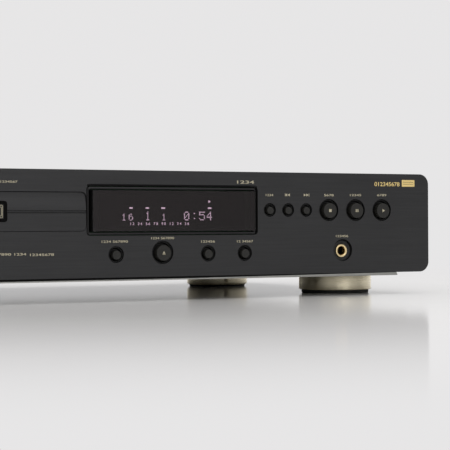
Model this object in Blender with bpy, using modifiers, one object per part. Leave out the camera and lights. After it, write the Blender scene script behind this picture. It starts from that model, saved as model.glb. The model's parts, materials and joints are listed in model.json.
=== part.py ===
"""Disc player for a hi-fi shelf, built as it comes apart on a bench.

A black aluminium front plate over a plastic carrier, a sheet-steel case on four turned feet, eleven push
keys, a smoked display window, a headphone socket, and a sliding disc drawer with its loader, turntable
and pickup. Metres, +Z up. The front faces -Y, and the origin is on the floor under the middle of the case.
"""

import math

import bmesh
import bpy
from mathutils import Matrix, Vector

# Clearances shared by all pieces
SEAT_GAP = 0.0003
CUT_OVERRUN = 0.002
AXIS_MERGE = 0.00001
POINT_MERGE = 0.000001
JOIN_DEPTH = 0.0006

# Round pieces
LARGE_SEGMENTS = 24
KEY_SEGMENTS = 16
SMALL_SEGMENTS = 12
CORNER_STEPS = 4

# Case
PANEL_WIDTH = 0.440
PANEL_HEIGHT = 0.076
PANEL_THICKNESS = 0.003
PANEL_CORNER_RADIUS = 0.008
PANEL_ABOVE_FLOOR = 0.0173
CASE_DEPTH = 0.300
SHEET_THICKNESS = 0.0009

# Front carrier
CARRIER_SIDE_INSET = 0.002
CARRIER_TOP_INSET = 0.001
CARRIER_FACE_THICKNESS = 0.002
CARRIER_WALL = 0.002
CARRIER_DEPTH = 0.021
CARRIER_CORNER_RADIUS = 0.007

# Drawer door
DOOR_WIDTH = 0.136
DOOR_HEIGHT = 0.0272
DOOR_THICKNESS = 0.004
DOOR_FROM_LEFT = 0.0177
DOOR_HEIGHT_SHARE = 0.6135
DOOR_CORNER_RADIUS = 0.0035
DOOR_GAP = 0.0004
DOOR_SLOPE_START = 0.00005
DOOR_SLOPE_DEPTH = 0.00115
DOOR_SWELL = 0.0017
DOOR_SLOPE_STEPS = 8
DOOR_BEAD_WIDTH = 0.0007
DOOR_BEAD_DROP = 0.00025
DOOR_BEAD_DEPTH = 0.0006
BADGE_WIDTH = 0.0206
BADGE_HEIGHT = 0.0137
BADGE_THICKNESS = 0.0016
BADGE_PROUD = 0.0003
BADGE_CORNER_RADIUS = 0.0015

# Display. It fills the room between the drawer door and the first key of the upper row
DISPLAY_TO_KEYS = 0.0051
DISPLAY_HEIGHT = 0.0350
DISPLAY_HEIGHT_SHARE = 0.6214
DISPLAY_CORNER_RADIUS = 0.0025
OPENINGS_LAP = 0.0002
BEZEL_BORDER = 0.0014
BEZEL_RECESS = 0.0008
BEZEL_DEPTH = 0.0037
BEZEL_GAP = 0.0007
WINDOW_LEFT_GAP = 0.0017
WINDOW_RIGHT_GAP = 0.0008
WINDOW_EDGE_GAP = 0.0009
WINDOW_PROUD = 0.0022
WINDOW_FLANGE_LAP = 0.0012
WINDOW_FLANGE_THICKNESS = 0.0015
WINDOW_EDGE = 0.0003
TUBE_SIDE_INSET = 0.0121
TUBE_HEIGHT = 0.024
TUBE_THICKNESS = 0.006

# Keys. The upper row is set out from the panel's right edge, the lower row along the display's width
LARGE_HOLE_RADIUS = 0.00835
LARGE_KEY_RADIUS = 0.00565
LARGE_KEY_PROUD = 0.0024
LOWER_HOLE_RADIUS = 0.0059
LOWER_KEY_RADIUS = 0.00325
LOWER_KEY_PROUD = 0.0015
UPPER_HOLE_RADIUS = 0.00505
UPPER_KEY_RADIUS = 0.00275
UPPER_KEY_PROUD = 0.0012
KEY_EDGE = 0.0004
KEY_GAP = 0.00035
KEY_FLANGE_WIDTH = 0.0012
KEY_FLANGE_THICKNESS = 0.001
KEY_TRAVEL = 0.0008
POWER_TRAVEL = 0.003
COLLAR_GAP = 0.00025
COLLAR_WIDTH = 0.0008
COLLAR_RECESS = 0.0014
PLAY_FROM_RIGHT = 0.0432
LARGE_KEY_PITCH = 0.0236
STOP_TO_NEXT = 0.0197
UPPER_KEY_PITCH = 0.01545
UPPER_ROW_SHARE = 0.6255
LOWER_ROW_SHARE = 0.2098
EJECT_ROW_SHARE = 0.225
KEY_DROP = 0.0004
PEAK_KEY_SHARE = 0.1638
EJECT_KEY_SHARE = 0.4298
SCROLL_KEY_SHARE = 0.6973
TEXT_KEY_SHARE = 0.9188
POWER_FROM_LEFT = 0.030

# Control board
BOARD_THICKNESS = 0.0016
KEY_STEM_SHARE = 0.6
BOARD_LEFT_MARGIN = 0.004
SWITCH_SIDE = 0.006
SWITCH_HEIGHT = 0.0035
SWITCH_PLAY = 0.0002

# Headphone socket
SOCKET_FROM_RIGHT = 0.0783
BUSH_RADIUS = 0.0049
BUSH_BORE_RADIUS = 0.0032
BUSH_RECESS = 0.0017
BUSH_LENGTH = 0.006
BUSH_CHAMFER = 0.0007
JACK_SIDE = 0.016
JACK_LENGTH = 0.030
JACK_END_WALL = 0.002

# Base, cover and rear panel
COVER_SIDE_INSET = 0.005
COVER_LAP_GAP = 0.0006
COVER_CORNER_RADIUS = 0.003
COVER_REAR_LAP = 0.001
BASE_FRONT_SETBACK = 0.0005
BASE_WALL_HEIGHT = 0.024
PAN_MARGIN = 0.0200
PAN_DROP = 0.0023
PAN_LIP_HEIGHT = 0.0015
REAR_PANEL_THICKNESS = 0.0012
VENT_COUNT = 16
VENT_WIDTH = 0.003
VENT_LENGTH = 0.045
VENT_PITCH = 0.0085
VENT_FROM_REAR = 0.022
COVER_SCREW_HEAD_RADIUS = 0.004
COVER_SCREW_HEAD_HEIGHT = 0.0022
COVER_SCREW_RADIUS = 0.0018
COVER_SCREW_LENGTH = 0.007
COVER_SCREW_HEIGHT = 0.0145
COVER_SCREW_DEPTH_SHARES = (0.25, 0.80)
COVER_SCREW_SLOT_WIDTH = 0.0009

# Feet
FRONT_FOOT_RADIUS = 0.029
REAR_FOOT_RADIUS = 0.0272
FRONT_FOOT_FROM_SIDE = 0.050
REAR_FOOT_FROM_SIDE = 0.070
FRONT_FOOT_FROM_FRONT = 0.0597
REAR_FOOT_FROM_REAR = 0.0654
FOOT_WALL = 0.003
FOOT_TOP_THICKNESS = 0.0025
FOOT_CHAMFER = 0.0014
FOOT_NECK = 0.0009
FOOT_NECK_INSET = 0.004
PAD_INSET = 0.0022
FRONT_PAD_SHOWN = 0.0024
REAR_PAD_SHOWN = 0.0013
PAD_SEATED = 0.001

# Drawer, seen from its disc centre
DISC_WELL_RADIUS = 0.061
DISC_WELL_DEPTH = 0.0048
WELL_SEGMENTS = 48
SMALL_WELL_RADIUS = 0.041
SMALL_WELL_STEP = 0.0008
DRAWER_WIDTH = 0.128
DRAWER_THICKNESS = 0.008
DRAWER_RISE = 0.0028
WELL_FROM_DOOR = 0.004
DRAWER_TAIL = 0.057
SLOT_HALF_WIDTH = 0.021
SLOT_FRONT = 0.019
DRAWER_TRAVEL = 0.140

# Rack and pinion
GEAR_MODULE = 0.0015
PINION_TEETH = 14
PRESSURE_ANGLE = 20
TOOTH_BACKLASH = 0.0003
RACK_ADDENDUM_SHARE = 0.75
DEDENDUM_SHARE = 1.25
FLANK_STEPS = 3
PINION_HEIGHT = 0.006
PINION_UNDER_DRAWER = 0.0005
RACK_BACK = 0.0025
RACK_LEAD = 0.010
RACK_FROM_EDGE = 0.003
PINION_DEPTH = 0.042
PINION_PIN_RADIUS = 0.002
BORE_GAP = 0.00025

# Belt drive
PULLEY_RADIUS = 0.0145
PULLEY_FLANGE = 0.0012
PULLEY_HEIGHT = 0.005
MOTOR_PULLEY_RADIUS = 0.0035
MOTOR_PULLEY_FLANGE = 0.001
BELT_THICKNESS = 0.001
BELT_HEIGHT = 0.0018
BELT_CENTRES = 0.034
BELT_STEPS = 12
MOTOR_RADIUS = 0.012
MOTOR_HEIGHT = 0.018
SHAFT_RADIUS = 0.001

# Loader frame and clamp bridge
LOADER_WALL = 0.003
LOADER_SIDE_GAP = 0.003
LOADER_FLOOR = 0.002
LOADER_SET_BACK = 0.0045
RAIL_THICKNESS = 0.002
RAIL_LAP = 0.002
WALL_ABOVE_DRAWER = 0.004
LEG_SIDE = 0.008
LEG_DEPTH_SHARES = (0.18, 0.92)
BRIDGE_LENGTH = 0.040
BRIDGE_THICKNESS = 0.002
PUCK_RADIUS = 0.012
PUCK_FLANGE = 0.0035
PUCK_FLANGE_THICKNESS = 0.002
PUCK_DROP = 0.0038
PUCK_HUB_RADIUS = 0.007
PUCK_SIDE_GAP = 0.0005

# Traverse deck
DECK_HALF_WIDTH = 0.0255
DECK_THICKNESS = 0.002
DECK_FRONT = 0.022
DECK_REAR = 0.094
DECK_GAP = 0.002
DECK_PIN_RADIUS = 0.0015
DECK_PIN_LENGTH = 0.0045
DECK_PIN_SETBACK = 0.004
EAR_THICKNESS = 0.003
DECK_BELOW_DRAWER = 0.010
SPINDLE_MOTOR_RADIUS = 0.012
SPINDLE_MOTOR_HEIGHT = 0.010
TURNTABLE_RADIUS = 0.016
TURNTABLE_THICKNESS = 0.0015
TURNTABLE_RISE = 0.0015
HUB_RADIUS = 0.0073
HUB_HEIGHT = 0.003
SPINDLE_RADIUS = 0.0012
ROD_RADIUS = 0.0015
ROD_HALF_PITCH = 0.016
ROD_ABOVE_DECK = 0.0045
ROD_POST_SIDE = 0.005
ROD_FRONT = 0.019
SLED_HALF_WIDTH = 0.019
SLED_LENGTH = 0.022
SLED_HEIGHT = 0.0065
SLED_START = 0.036
SLED_TRAVEL = 0.034
LENS_RADIUS = 0.0035
LENS_HEIGHT = 0.0035

# Mains and audio
TRANSFORMER_SIZE = (0.062, 0.048, 0.044)
TRANSFORMER_COIL_LAP = 0.006
WINDING_EDGE = 0.002
TRANSFORMER_FROM_INLET = 0.01335
TRANSFORMER_ROOM_SHARE = 0.734
MAIN_BOARD_HEIGHT = 0.008
MAIN_BOARD_MARGIN = 0.010
STANDOFF_RADIUS = 0.003
CAPACITOR_RADIUS = 0.009
CAPACITOR_HEIGHT = 0.030
CAPACITOR_X_SHARES = (0.25, 0.40)
CAPACITOR_DEPTH_SHARE = 0.55
POWER_SWITCH_SIZE = (0.014, 0.030, 0.013)
INLET_WIDTH = 0.0285
INLET_HEIGHT = 0.0205
INLET_WALL = 0.002
INLET_LENGTH = 0.020
INLET_FLANGE = 0.0025
INLET_FLANGE_THICKNESS = 0.002
INLET_PIN_SIZE = (0.002, 0.012, 0.004)
INLET_PIN_PITCH = 0.007
INLET_FROM_LEFT = 0.045
REAR_ROW_HEIGHT = 0.034
PHONO_PROUD = 0.009
PHONO_RADIUS = 0.0042
PHONO_BORE_RADIUS = 0.0017
PHONO_BORE_DEPTH = 0.010
PHONO_PITCH = 0.020
PHONO_BLOCK_DEPTH = 0.012
PHONO_BLOCK_HEIGHT = 0.018
PHONO_FROM_RIGHT = 0.070
DIGITAL_FROM_RIGHT = 0.130
OPTICAL_FROM_RIGHT = 0.160
OPTICAL_WIDTH = 0.0105
OPTICAL_HEIGHT = 0.0125
OPTICAL_PROUD = 0.0015
OPTICAL_PORT_SIDE = 0.0056

# Places that follow from the sizes above
TOTAL_DEPTH = LARGE_KEY_PROUD + CASE_DEPTH + PHONO_PROUD
FACE_Y = LARGE_KEY_PROUD - TOTAL_DEPTH / 2
REAR_Y = FACE_Y + CASE_DEPTH
PANEL_LEFT = -PANEL_WIDTH / 2
PANEL_RIGHT = PANEL_WIDTH / 2
PANEL_BOTTOM = PANEL_ABOVE_FLOOR
PANEL_TOP = PANEL_BOTTOM + PANEL_HEIGHT
CARRIER_FRONT = FACE_Y + PANEL_THICKNESS + SEAT_GAP
CARRIER_PLATE_BACK = CARRIER_FRONT + CARRIER_FACE_THICKNESS
CARRIER_BACK = CARRIER_FRONT + CARRIER_DEPTH
BASE_TOP = PANEL_BOTTOM + SHEET_THICKNESS
PAN_BOTTOM = PANEL_BOTTOM - PAN_DROP
PAN_TOP = PAN_BOTTOM + SHEET_THICKNESS
PANEL_MIDDLE = (PANEL_BOTTOM + PANEL_TOP) / 2
COVER_TOP = PANEL_TOP - CARRIER_TOP_INSET
COVER_HALF = PANEL_WIDTH / 2 - COVER_SIDE_INSET
BASE_HALF = COVER_HALF - SHEET_THICKNESS - COVER_LAP_GAP
PAN_HALF = BASE_HALF - PAN_MARGIN
DOOR_LEFT = PANEL_LEFT + DOOR_FROM_LEFT
DOOR_RIGHT = DOOR_LEFT + DOOR_WIDTH
DOOR_X = (DOOR_LEFT + DOOR_RIGHT) / 2
DOOR_Z = PANEL_BOTTOM + PANEL_HEIGHT * DOOR_HEIGHT_SHARE
PLAY_X = PANEL_RIGHT - PLAY_FROM_RIGHT
PAUSE_X = PLAY_X - LARGE_KEY_PITCH
STOP_X = PAUSE_X - LARGE_KEY_PITCH
NEXT_X = STOP_X - STOP_TO_NEXT
BACK_X = NEXT_X - UPPER_KEY_PITCH
EDIT_X = BACK_X - UPPER_KEY_PITCH
DISPLAY_LEFT = DOOR_RIGHT + DOOR_GAP - OPENINGS_LAP
DISPLAY_RIGHT = EDIT_X - UPPER_HOLE_RADIUS - DISPLAY_TO_KEYS
DISPLAY_WIDTH = DISPLAY_RIGHT - DISPLAY_LEFT
DISPLAY_X = (DISPLAY_LEFT + DISPLAY_RIGHT) / 2
BEZEL_FRONT = FACE_Y + BEZEL_RECESS
BEZEL_BACK = BEZEL_FRONT + BEZEL_DEPTH
BEZEL_WIDTH = DISPLAY_WIDTH - 2 * BEZEL_GAP
BEZEL_HEIGHT = DISPLAY_HEIGHT - 2 * BEZEL_GAP
BEZEL_INNER_WIDTH = BEZEL_WIDTH - 2 * BEZEL_BORDER
BEZEL_INNER_HEIGHT = BEZEL_HEIGHT - 2 * BEZEL_BORDER
WINDOW_WIDTH = BEZEL_INNER_WIDTH - WINDOW_LEFT_GAP - WINDOW_RIGHT_GAP
WINDOW_HEIGHT = BEZEL_INNER_HEIGHT - 2 * WINDOW_EDGE_GAP
WINDOW_X = DISPLAY_X + (WINDOW_LEFT_GAP - WINDOW_RIGHT_GAP) / 2
TUBE_WIDTH = WINDOW_WIDTH - 2 * TUBE_SIDE_INSET
DISPLAY_Z = PANEL_BOTTOM + PANEL_HEIGHT * DISPLAY_HEIGHT_SHARE
UPPER_ROW_Z = PANEL_BOTTOM + PANEL_HEIGHT * UPPER_ROW_SHARE
LOWER_ROW_Z = PANEL_BOTTOM + PANEL_HEIGHT * LOWER_ROW_SHARE
EJECT_ROW_Z = PANEL_BOTTOM + PANEL_HEIGHT * EJECT_ROW_SHARE
POWER_X = PANEL_LEFT + POWER_FROM_LEFT
JACK_X = PANEL_RIGHT - SOCKET_FROM_RIGHT
BOARD_FRONT = CARRIER_BACK - SEAT_GAP - BOARD_THICKNESS - CARRIER_WALL
KEY_BACK = BOARD_FRONT - SWITCH_HEIGHT - KEY_TRAVEL - SWITCH_PLAY
DRAWER_TOP = DOOR_Z + DRAWER_RISE
DRAWER_BOTTOM = DRAWER_TOP - DRAWER_THICKNESS
DRAWER_FRONT = FACE_Y + DOOR_THICKNESS + SEAT_GAP
DISC_Y = DRAWER_FRONT + WELL_FROM_DOOR + DISC_WELL_RADIUS
DRAWER_REAR = DISC_Y + DISC_WELL_RADIUS + DRAWER_TAIL
PINION_Y = FACE_Y + PINION_DEPTH
PITCH_RADIUS = GEAR_MODULE * PINION_TEETH / 2
RACK_PITCH_X = DOOR_X + DRAWER_WIDTH / 2 - RACK_FROM_EDGE - RACK_BACK - DEDENDUM_SHARE * GEAR_MODULE
PINION_X = RACK_PITCH_X - PITCH_RADIUS
PINION_TOP = DRAWER_BOTTOM - PINION_UNDER_DRAWER
PINION_BOTTOM = PINION_TOP - PINION_HEIGHT
PULLEY_BOTTOM = PINION_BOTTOM - PULLEY_HEIGHT
FLOOR_TOP = PULLEY_BOTTOM - SEAT_GAP
FLOOR_BOTTOM = FLOOR_TOP - LOADER_FLOOR
MOTOR_X = PINION_X
MOTOR_Y = PINION_Y + BELT_CENTRES
BELT_Z = PULLEY_BOTTOM + PULLEY_HEIGHT / 2
LOADER_FRONT = CARRIER_BACK + LOADER_SET_BACK
LOADER_REAR = DRAWER_REAR + SEAT_GAP + LOADER_WALL
LOADER_INNER_HALF = DRAWER_WIDTH / 2 + LOADER_SIDE_GAP
LOADER_HALF = LOADER_INNER_HALF + LOADER_WALL
LOADER_TOP = DRAWER_TOP + WALL_ABOVE_DRAWER
DECK_TOP = DRAWER_BOTTOM - DECK_BELOW_DRAWER
DECK_BOTTOM = DECK_TOP - DECK_THICKNESS
DECK_PIN_Y = DISC_Y + DECK_REAR - DECK_PIN_SETBACK
DECK_PIN_Z = (DECK_TOP + DECK_BOTTOM) / 2
EAR_X = DECK_HALF_WIDTH + SEAT_GAP
ROD_Z = DECK_TOP + ROD_ABOVE_DECK
ROD_REAR = SLED_START + SLED_TRAVEL + SLED_LENGTH / 2 + ROD_POST_SIDE
BRIDGE_BOTTOM = LOADER_TOP + SEAT_GAP
BRIDGE_TOP = BRIDGE_BOTTOM + BRIDGE_THICKNESS
WELL_FLOOR = DRAWER_TOP - DISC_WELL_DEPTH
TABLE_TOP = WELL_FLOOR + TURNTABLE_RISE
INLET_X = PANEL_LEFT + INLET_FROM_LEFT
REAR_ROW_Z = PANEL_BOTTOM + REAR_ROW_HEIGHT
PHONO_X = PANEL_RIGHT - PHONO_FROM_RIGHT
DIGITAL_X = PANEL_RIGHT - DIGITAL_FROM_RIGHT
OPTICAL_X = PANEL_RIGHT - OPTICAL_FROM_RIGHT
REAR_INNER = REAR_Y - REAR_PANEL_THICKNESS
BOARD_Z = BASE_TOP + MAIN_BOARD_HEIGHT

# Each key: name, x, z, panel hole radius, key radius and how far it stands proud of the panel
LARGE_SET = (LARGE_HOLE_RADIUS, LARGE_KEY_RADIUS, LARGE_KEY_PROUD)
LOWER_SET = (LOWER_HOLE_RADIUS, LOWER_KEY_RADIUS, LOWER_KEY_PROUD)
UPPER_SET = (UPPER_HOLE_RADIUS, UPPER_KEY_RADIUS, UPPER_KEY_PROUD)
KEYS = (
    ("key_power", POWER_X, EJECT_ROW_Z, *LARGE_SET),
    ("key_peak", DISPLAY_LEFT + DISPLAY_WIDTH * PEAK_KEY_SHARE, LOWER_ROW_Z, *LOWER_SET),
    ("key_eject", DISPLAY_LEFT + DISPLAY_WIDTH * EJECT_KEY_SHARE, EJECT_ROW_Z, *LARGE_SET),
    ("key_scroll", DISPLAY_LEFT + DISPLAY_WIDTH * SCROLL_KEY_SHARE, LOWER_ROW_Z, *LOWER_SET),
    ("key_text", DISPLAY_LEFT + DISPLAY_WIDTH * TEXT_KEY_SHARE, LOWER_ROW_Z, *LOWER_SET),
    ("key_edit", EDIT_X, UPPER_ROW_Z, *UPPER_SET),
    ("key_back", BACK_X, UPPER_ROW_Z, *UPPER_SET),
    ("key_next", NEXT_X, UPPER_ROW_Z, *UPPER_SET),
    ("key_stop", STOP_X, UPPER_ROW_Z, *LARGE_SET),
    ("key_pause", PAUSE_X, UPPER_ROW_Z, *LARGE_SET),
    ("key_play", PLAY_X, UPPER_ROW_Z, *LARGE_SET),
)

# Turns a shape that stands along +Z so that it points to the front, the right or the left
TO_FRONT = Matrix.Rotation(math.pi / 2, 4, "X")
TO_RIGHT = Matrix.Rotation(math.pi / 2, 4, "Y")
TO_LEFT = Matrix.Rotation(-math.pi / 2, 4, "Y")


def clear_scene():
    for obj in list(bpy.data.objects):
        bpy.data.objects.remove(obj)


def new_collection(name):
    made = bpy.data.collections.new(name)
    bpy.context.scene.collection.children.link(made)
    return made


def new_material(name, colour, roughness, metallic):
    made = bpy.data.materials.new(name)
    made.use_nodes = True
    shader = made.node_tree.nodes["Principled BSDF"]
    shader.inputs["Base Color"].default_value = (*colour, 1.0)
    shader.inputs["Roughness"].default_value = roughness
    shader.inputs["Metallic"].default_value = metallic
    made.diffuse_color = (*colour, 1.0)
    return made


clear_scene()
PLAYER = new_collection("disc_player")
TOOLS = new_collection("shaping_tools")
BLACK_ALUMINIUM = new_material("black_aluminium", (0.035, 0.035, 0.036), 0.42, 0.6)
BLACK_PLASTIC = new_material("black_plastic", (0.012, 0.012, 0.013), 0.45, 0.0)
KEY_GREY = new_material("key_grey", (0.040, 0.040, 0.041), 0.45, 0.1)
SMOKED_ACRYLIC = new_material("smoked_acrylic", (0.022, 0.019, 0.020), 0.08, 0.0)
TUBE_GLASS = new_material("tube_glass", (0.05, 0.06, 0.06), 0.1, 0.0)
GOLD_METAL = new_material("gold_metal", (0.83, 0.60, 0.24), 0.22, 1.0)
CHAMPAGNE = new_material("champagne_aluminium", (0.60, 0.52, 0.38), 0.32, 1.0)
RUBBER = new_material("black_rubber", (0.010, 0.010, 0.010), 0.85, 0.0)
COVER_PAINT = new_material("cover_paint", (0.020, 0.020, 0.021), 0.55, 0.0)
ZINC_STEEL = new_material("zinc_steel", (0.42, 0.42, 0.39), 0.35, 0.9)
STEEL = new_material("bright_steel", (0.62, 0.62, 0.62), 0.2, 1.0)
GREY_PLASTIC = new_material("grey_plastic", (0.10, 0.10, 0.105), 0.5, 0.0)
WHITE_PLASTIC = new_material("white_plastic", (0.62, 0.61, 0.57), 0.45, 0.0)
CIRCUIT_BOARD = new_material("circuit_board", (0.05, 0.16, 0.06), 0.45, 0.0)
COPPER_WINDING = new_material("copper_winding", (0.55, 0.26, 0.10), 0.4, 0.8)
LENS_GLASS = new_material("lens_glass", (0.12, 0.10, 0.30), 0.05, 0.0)


def link(obj, material):
    PLAYER.objects.link(obj)
    if material is not None:
        obj.data.materials.clear()
        obj.data.materials.append(material)
    return obj


def smooth(mesh):
    mesh.shade_smooth()
    mesh.set_sharp_from_angle(angle=math.radians(35))


def finished(name, bm, material):
    bmesh.ops.recalc_face_normals(bm, faces=bm.faces)
    mesh = bpy.data.meshes.new(name)
    bm.to_mesh(mesh)
    bm.free()
    smooth(mesh)
    return link(bpy.data.objects.new(name, mesh), material)


def box(name, low, high, material=None):
    """A block between two corners."""
    low, high = Vector(low), Vector(high)
    bm = bmesh.new()
    size = Matrix.Diagonal((*(high - low), 1))
    bmesh.ops.create_cube(bm, size=1, matrix=Matrix.Translation((low + high) / 2) @ size)
    return finished(name, bm, material)


def boxes(name, corner_pairs, material=None):
    """Several separate blocks in one mesh, as a tool for a Boolean."""
    bm = bmesh.new()
    for low, high in corner_pairs:
        low, high = Vector(low), Vector(high)
        size = Matrix.Diagonal((*(high - low), 1))
        bmesh.ops.create_cube(bm, size=1, matrix=Matrix.Translation((low + high) / 2) @ size)
    return finished(name, bm, material)


def add_cylinder(bm, radius, start, end, segments):
    start, end = Vector(start), Vector(end)
    turn = (end - start).to_track_quat("Z", "Y").to_matrix().to_4x4()
    bmesh.ops.create_cone(
        bm,
        cap_ends=True,
        segments=segments,
        radius1=radius,
        radius2=radius,
        depth=(end - start).length,
        matrix=Matrix.Translation((start + end) / 2) @ turn,
    )


def cylinders(name, rods, material=None, segments=SMALL_SEGMENTS):
    """Round rods in one mesh. Each is (radius, start point, end point)."""
    bm = bmesh.new()
    for radius, start, end in rods:
        add_cylinder(bm, radius, start, end, segments)
    return finished(name, bm, material)


def turned(name, profile, place, material=None, segments=KEY_SEGMENTS, ring=False):
    """A profile of (radius, height) points turned about local Z. A ring is a closed loop."""
    mesh = bpy.data.meshes.new(name)
    count = len(profile)
    edges = [(i, i + 1) for i in range(count - 1)] + ([(count - 1, 0)] if ring else [])
    mesh.from_pydata([(radius, 0, height) for radius, height in profile], edges, [])
    obj = link(bpy.data.objects.new(name, mesh), material)
    obj.matrix_world = place
    screw = obj.modifiers.new("turn", "SCREW")
    screw.steps = segments
    screw.render_steps = segments
    screw.use_merge_vertices = True
    screw.merge_threshold = AXIS_MERGE
    screw.use_smooth_shade = False
    return obj


def outline_solid(name, loops, thickness, place, material=None):
    """A flat outline, with any holes after it, given a thickness along its own Z axis."""
    curve = bpy.data.curves.new(name, "CURVE")
    curve.dimensions = "2D"
    curve.fill_mode = "BOTH"
    curve.extrude = thickness / 2
    for loop in loops:
        spline = curve.splines.new("POLY")
        spline.points.add(len(loop) - 1)
        for point, (x, y) in zip(spline.points, loop):
            point.co = (x, y, 0, 1)
        spline.use_cyclic_u = True
    flat = bpy.data.objects.new(name + "_outline", curve)
    PLAYER.objects.link(flat)
    bpy.context.view_layer.update()
    mesh = bpy.data.meshes.new_from_object(flat.evaluated_get(bpy.context.evaluated_depsgraph_get()))
    bpy.data.objects.remove(flat)
    bm = bmesh.new()
    bm.from_mesh(mesh)
    bmesh.ops.remove_doubles(bm, verts=bm.verts, dist=POINT_MERGE)
    bmesh.ops.transform(bm, matrix=place, verts=bm.verts)
    return finished(name, bm, material)


def rounded_rectangle(width, height, radius, x=0, y=0):
    """Corner arcs in order, anticlockwise from the lower left."""
    points = []
    corners = ((-1, -1, 180), (1, -1, 270), (1, 1, 0), (-1, 1, 90))
    for side_x, side_y, start in corners:
        centre_x = x + side_x * (width / 2 - radius)
        centre_y = y + side_y * (height / 2 - radius)
        for step in range(CORNER_STEPS + 1):
            angle = math.radians(start + 90 * step / CORNER_STEPS)
            points.append((centre_x + radius * math.cos(angle), centre_y + radius * math.sin(angle)))
    return points


def front_plate(name, loops, front, back, material=None):
    """An upright plate whose outline is given in x and z."""
    place = Matrix.Translation((0, (front + back) / 2, 0)) @ TO_FRONT
    return outline_solid(name, loops, back - front, place, material)


def folded_sheet(name, section, front, back, thickness, material):
    """Sheet metal folded to a section of (x, z) points, its thickness laid inside the fold."""
    bm = bmesh.new()
    start = [bm.verts.new((x, front, z)) for x, z in section]
    edges = [bm.edges.new(pair) for pair in zip(start, start[1:])]
    made = bmesh.ops.extrude_edge_only(bm, edges=edges)["geom"]
    moved = [item for item in made if isinstance(item, bmesh.types.BMVert)]
    bmesh.ops.translate(bm, vec=(0, back - front, 0), verts=moved)
    mesh = bpy.data.meshes.new(name)
    bm.to_mesh(mesh)
    bm.free()
    obj = link(bpy.data.objects.new(name, mesh), material)
    shell = obj.modifiers.new("thickness", "SOLIDIFY")
    shell.thickness = thickness
    shell.offset = -1
    shell.use_even_offset = True
    return obj


def hide_tool(tool):
    PLAYER.objects.unlink(tool)
    TOOLS.objects.link(tool)
    tool.hide_render = True
    tool.display_type = "WIRE"


def shape(obj, operation, tools):
    for tool in tools:
        boolean = obj.modifiers.new(tool.name, "BOOLEAN")
        boolean.operation = operation
        boolean.object = tool
        hide_tool(tool)
    return obj


def cut(obj, *tools):
    return shape(obj, "DIFFERENCE", tools)


def join(obj, *tools):
    return shape(obj, "UNION", tools)


def chamfer(obj, width, segments=1, angle=40):
    bevel = obj.modifiers.new("edges", "BEVEL")
    bevel.width = width
    bevel.segments = segments
    bevel.limit_method = "ANGLE"
    bevel.angle_limit = math.radians(angle)
    return obj


def circle(radius, x, y, segments):
    angles = [2 * math.pi * step / segments for step in range(segments)]
    return [(x + radius * math.cos(angle), y + radius * math.sin(angle)) for angle in angles]


def upright_slab(name, width, height, radius, x, z, front, back, material=None):
    """A rounded slab that stands in the plane of the front, given by its middle."""
    return front_plate(name, [rounded_rectangle(width, height, radius, x, z)], front, back, material)


def opening(name, width, height, radius, x, z, front, back):
    return upright_slab(name, width, height, radius, x, z, front - CUT_OVERRUN, back + CUT_OVERRUN)


def disc_profile(radius, low, high, edge):
    """A turned disc whose upper rim has a small flat edge."""
    return [(0, high), (radius - edge, high), (radius, high - edge), (radius, low), (0, low)]


def floor_under(x):
    """The inside of the base under a place: the dropped pan in the middle, the rim beside it."""
    return PAN_TOP if abs(x) < PAN_HALF else BASE_TOP


def door_opening(name, front, back):
    width = DOOR_WIDTH + 2 * DOOR_GAP
    height = DOOR_HEIGHT + 2 * DOOR_GAP
    return opening(name, width, height, DOOR_CORNER_RADIUS + DOOR_GAP, DOOR_X, DOOR_Z, front, back)


def display_opening(name, front, back):
    return opening(
        name, DISPLAY_WIDTH, DISPLAY_HEIGHT, DISPLAY_CORNER_RADIUS, DISPLAY_X, DISPLAY_Z, front, back
    )


def build_front_panel():
    """The keys and the socket sit a little low in their holes, as the carrier hangs low behind the plate."""
    back = FACE_Y + PANEL_THICKNESS
    panel = upright_slab(
        "front_panel", PANEL_WIDTH, PANEL_HEIGHT, PANEL_CORNER_RADIUS, 0, PANEL_MIDDLE,
        FACE_Y, back, BLACK_ALUMINIUM,
    )
    holes = [circle(hole, x, z + KEY_DROP, LARGE_SEGMENTS) for _, x, z, hole, *_ in KEYS]
    holes.append(circle(LARGE_HOLE_RADIUS, JACK_X, EJECT_ROW_Z + KEY_DROP, LARGE_SEGMENTS))
    cut(panel, front_plate("panel_holes", holes, FACE_Y - CUT_OVERRUN, back + CUT_OVERRUN))
    cut(panel, door_opening("panel_door_opening", FACE_Y, back))
    cut(panel, display_opening("panel_display_opening", FACE_Y, back))


def carrier_outline(inset):
    width = PANEL_WIDTH - 2 * (CARRIER_SIDE_INSET + inset)
    height = PANEL_HEIGHT - 2 * (CARRIER_TOP_INSET + inset)
    return rounded_rectangle(width, height, CARRIER_CORNER_RADIUS - inset, 0, PANEL_MIDDLE)


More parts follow.
